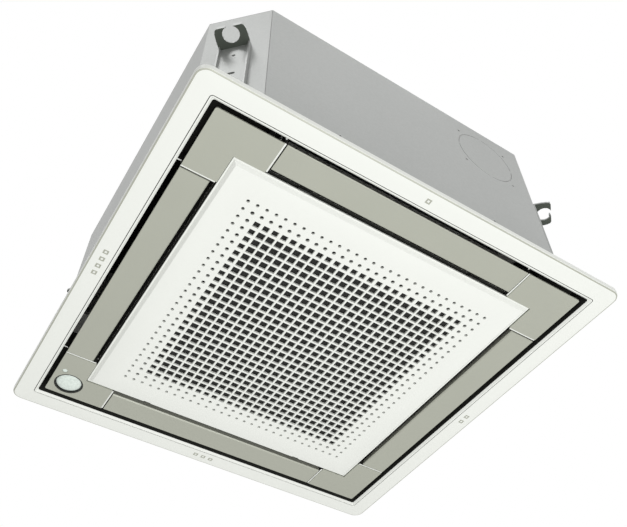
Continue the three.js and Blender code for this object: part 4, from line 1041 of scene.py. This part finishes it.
class CASSETTE_OT_grille(bpy.types.Operator):
    """Makes the suction grille's border and its fine perforated lattice"""
    bl_idname = "cassette.grille"
    bl_label = "Suction grille"

    def execute(self, context):
        sizes = context.scene.cassette_lattice
        half = sizes.pitch * sizes.rows / 2
        border = made_whole(node_copy("suction_grille", "grille_border"))
        soften(border, context.scene.cassette_edges.moulded)
        space = block("lattice_space", (-half, -half, FACE_Z - MM), (half, half, PLATE_BACK + 0.1 * MM))
        cut(border, space)
        grille = join("suction_grille_fine", border, lattice(sizes))
        finish_with(grille, "suction_grille")
        return {"FINISHED"}


class CASSETTE_OT_casing(bpy.types.Operator):
    """Rounds the casing's sheets and the hanger brackets"""
    bl_idname = "cassette.casing"
    bl_label = "Casing"

    def execute(self, context):
        sizes = context.scene.cassette_edges
        for side in SIDES:
            dressed(f"side_plate_{side}", sizes.sheet)
        dressed("top_plate", sizes.sheet)
        dressed("pipe_cover_plate", sizes.sheet)
        for corner in CORNERS:
            bracket = dressed(f"hanger_bracket_{corner}", sizes.sheet)
            # The tab's flat faces get the dark zinc, which is painted shade.
            refinish(bracket, "hanger_tab_painted_shade", is_shaded_tab_face)
        return {"FINISHED"}


class CASSETTE_OT_pipes(bpy.types.Operator):
    """Rounds the pipe ends, their flare nuts, the drain socket and the cable bush"""
    bl_idname = "cassette.pipes"
    bl_label = "Pipes and sockets"

    def execute(self, context):
        sizes = context.scene.cassette_edges
        for node in ("gas_pipe", "liquid_pipe", "gas_flare_nut", "liquid_flare_nut", "drain_socket",
                     "cable_bush"):
            dressed(node, sizes.sheet)
        return {"FINISHED"}


class CASSETTE_OT_screws(bpy.types.Operator):
    """Puts the casing's screws in their places"""
    bl_idname = "cassette.screws"
    bl_label = "Casing screws"

    def execute(self, context):
        head = screw_head(context.scene.cassette_edges)
        for number, (seat, facing) in enumerate(screw_places(), 1):
            turn = facing.to_track_quat("Z", "Y").to_matrix().to_4x4()
            screw = clone(head, f"casing_screw_{number:02d}", Matrix.Translation(seat) @ turn)
            screw.data.materials.append(FINISHES["bracket_steel"])
            only(screw)
            bpy.ops.object.shade_smooth_by_angle(angle=math.radians(30))
            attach(screw, "unit")
        bpy.data.objects.remove(head)
        return {"FINISHED"}


def white_world(studio):
    """Even room light that the camera, gloss and clear materials see as a white background."""
    world = bpy.data.worlds.new("room")
    bpy.context.scene.world = world
    world.use_nodes = True
    tree = world.node_tree
    background = tree.nodes["Background"]
    rays = add(tree, "ShaderNodeLightPath")
    seen = arithmetic(tree, "MAXIMUM", rays.outputs["Is Camera Ray"], rays.outputs["Is Glossy Ray"])
    seen = arithmetic(tree, "MAXIMUM", seen, rays.outputs["Is Transmission Ray"])
    background.inputs["Color"].default_value = (1, 1, 1, 1)
    tree.links.new(spread(tree, seen, studio.world, 1.0), background.inputs["Strength"])


# Each lamp's name, place, target and width; its power is the studio setting of that name.
LAMPS = (
    ("key", (0.1, -0.7, -1.9), (0, 0, 0), 2.0),
    ("fill", (0.5, -2.2, 0.4), (0, -0.28, 0.15), 1.4),
    ("edge", (-1.3, -0.8, 1.85), (-0.26, -0.26, 0.15), 0.6),
    ("top", (0.6, 0.4, 3.0), (0, 0, 0.3), 2.4),
)


def lamp(name, place, target, size, power):
    data = bpy.data.lights.new(name, "AREA")
    data.shape = "DISK"
    data.size = size
    data.energy = power
    lamp_object = bpy.data.objects.new(name, data)
    bpy.context.scene.collection.objects.link(lamp_object)
    lamp_object.location = place
    lamp_object.rotation_mode = "QUATERNION"
    lamp_object.rotation_quaternion = (Vector(target) - Vector(place)).to_track_quat("-Z", "Y")
    lamp_object.visible_camera = False


def photo_camera(studio):
    """The camera at the photograph's place and angle."""
    azimuth, elevation, roll = studio.azimuth, studio.elevation, studio.roll
    back = Vector((math.sin(azimuth) * math.cos(elevation), -math.cos(azimuth) * math.cos(elevation),
                   math.sin(elevation)))
    level = Vector((0, 0, 1)).cross(back).normalized()
    right = math.cos(roll) * level + math.sin(roll) * back.cross(level)
    up = back.cross(right)
    data = bpy.data.cameras.new("photo_camera")
    data.lens = studio.lens
    data.sensor_fit = "HORIZONTAL"
    data.sensor_width = 36.0
    data.clip_start = 0.01
    data.clip_end = 100.0
    camera = bpy.data.objects.new("photo_camera", data)
    bpy.context.scene.collection.objects.link(camera)
    camera.matrix_world = Matrix.Translation(studio.place) @ Matrix((right, up, back)).transposed().to_4x4()
    bpy.context.scene.camera = camera


class CASSETTE_OT_studio(bpy.types.Operator):
    """Sets the camera, the floor, the room's light and the lamps"""
    bl_idname = "cassette.studio"
    bl_label = "Studio"

    def execute(self, context):
        studio = context.scene.cassette_studio
        context.scene.view_settings.view_transform = "Standard"
        photo_camera(studio)
        white_world(studio)
        bpy.ops.object.select_all(action="DESELECT")
        bpy.ops.mesh.primitive_plane_add(size=40, location=(0, 0, studio.floor))
        floor = added("studio_floor")
        material = bpy.data.materials.new("studio floor")
        material.use_nodes = True
        shader = material.node_tree.nodes["Principled BSDF"]
        shader.inputs["Base Color"].default_value = rgba(studio.floor_colour)
        shader.inputs["Roughness"].default_value = 0.9
        floor.data.materials.append(material)
        for name, place, target, size in LAMPS:
            lamp(f"{name}_lamp", place, target, size, getattr(studio, name))
        return {"FINISHED"}


OPERATORS = (CASSETTE_OT_finishes, CASSETTE_OT_panel, CASSETTE_OT_inserts, CASSETTE_OT_sensor,
             CASSETTE_OT_grille, CASSETTE_OT_casing, CASSETTE_OT_pipes, CASSETTE_OT_screws,
             CASSETTE_OT_studio)


class CASSETTE_PT_panel(bpy.types.Panel):
    """The cassette's sizes, colours and pieces"""
    bl_idname = "CASSETTE_PT_panel"
    bl_label = "Ceiling cassette"
    bl_space_type = "VIEW_3D"
    bl_region_type = "UI"
    bl_category = "Cassette"

    def draw(self, context):
        for name, group in SETTINGS:
            box = self.layout.box()
            box.label(text=group.__doc__)
            for key in group.__annotations__:
                box.prop(getattr(context.scene, name), key)
        for operator in OPERATORS:
            self.layout.operator(operator.bl_idname)


SETTINGS = (("cassette_lattice", CassetteLattice), ("cassette_edges", CassetteEdges),
            ("cassette_colours", CassetteColours), ("cassette_studio", CassetteStudio))


def register():
    for name, group in SETTINGS:
        bpy.utils.register_class(group)
        setattr(bpy.types.Scene, name, PointerProperty(type=group))
    for operator in OPERATORS:
        bpy.utils.register_class(operator)
    bpy.utils.register_class(CASSETTE_PT_panel)


def unregister():
    bpy.utils.unregister_class(CASSETTE_PT_panel)
    for operator in reversed(OPERATORS):
        bpy.utils.unregister_class(operator)
    for name, group in reversed(SETTINGS):
        delattr(bpy.types.Scene, name)
        bpy.utils.unregister_class(group)


def main():
    register()
    bpy.ops.cassette.finishes()
    bpy.ops.cassette.panel()
    bpy.ops.cassette.inserts()
    bpy.ops.cassette.sensor()
    bpy.ops.cassette.grille()
    bpy.ops.cassette.casing()
    bpy.ops.cassette.pipes()
    bpy.ops.cassette.screws()
    bpy.ops.cassette.studio()


if __name__ == "__main__":
    main()
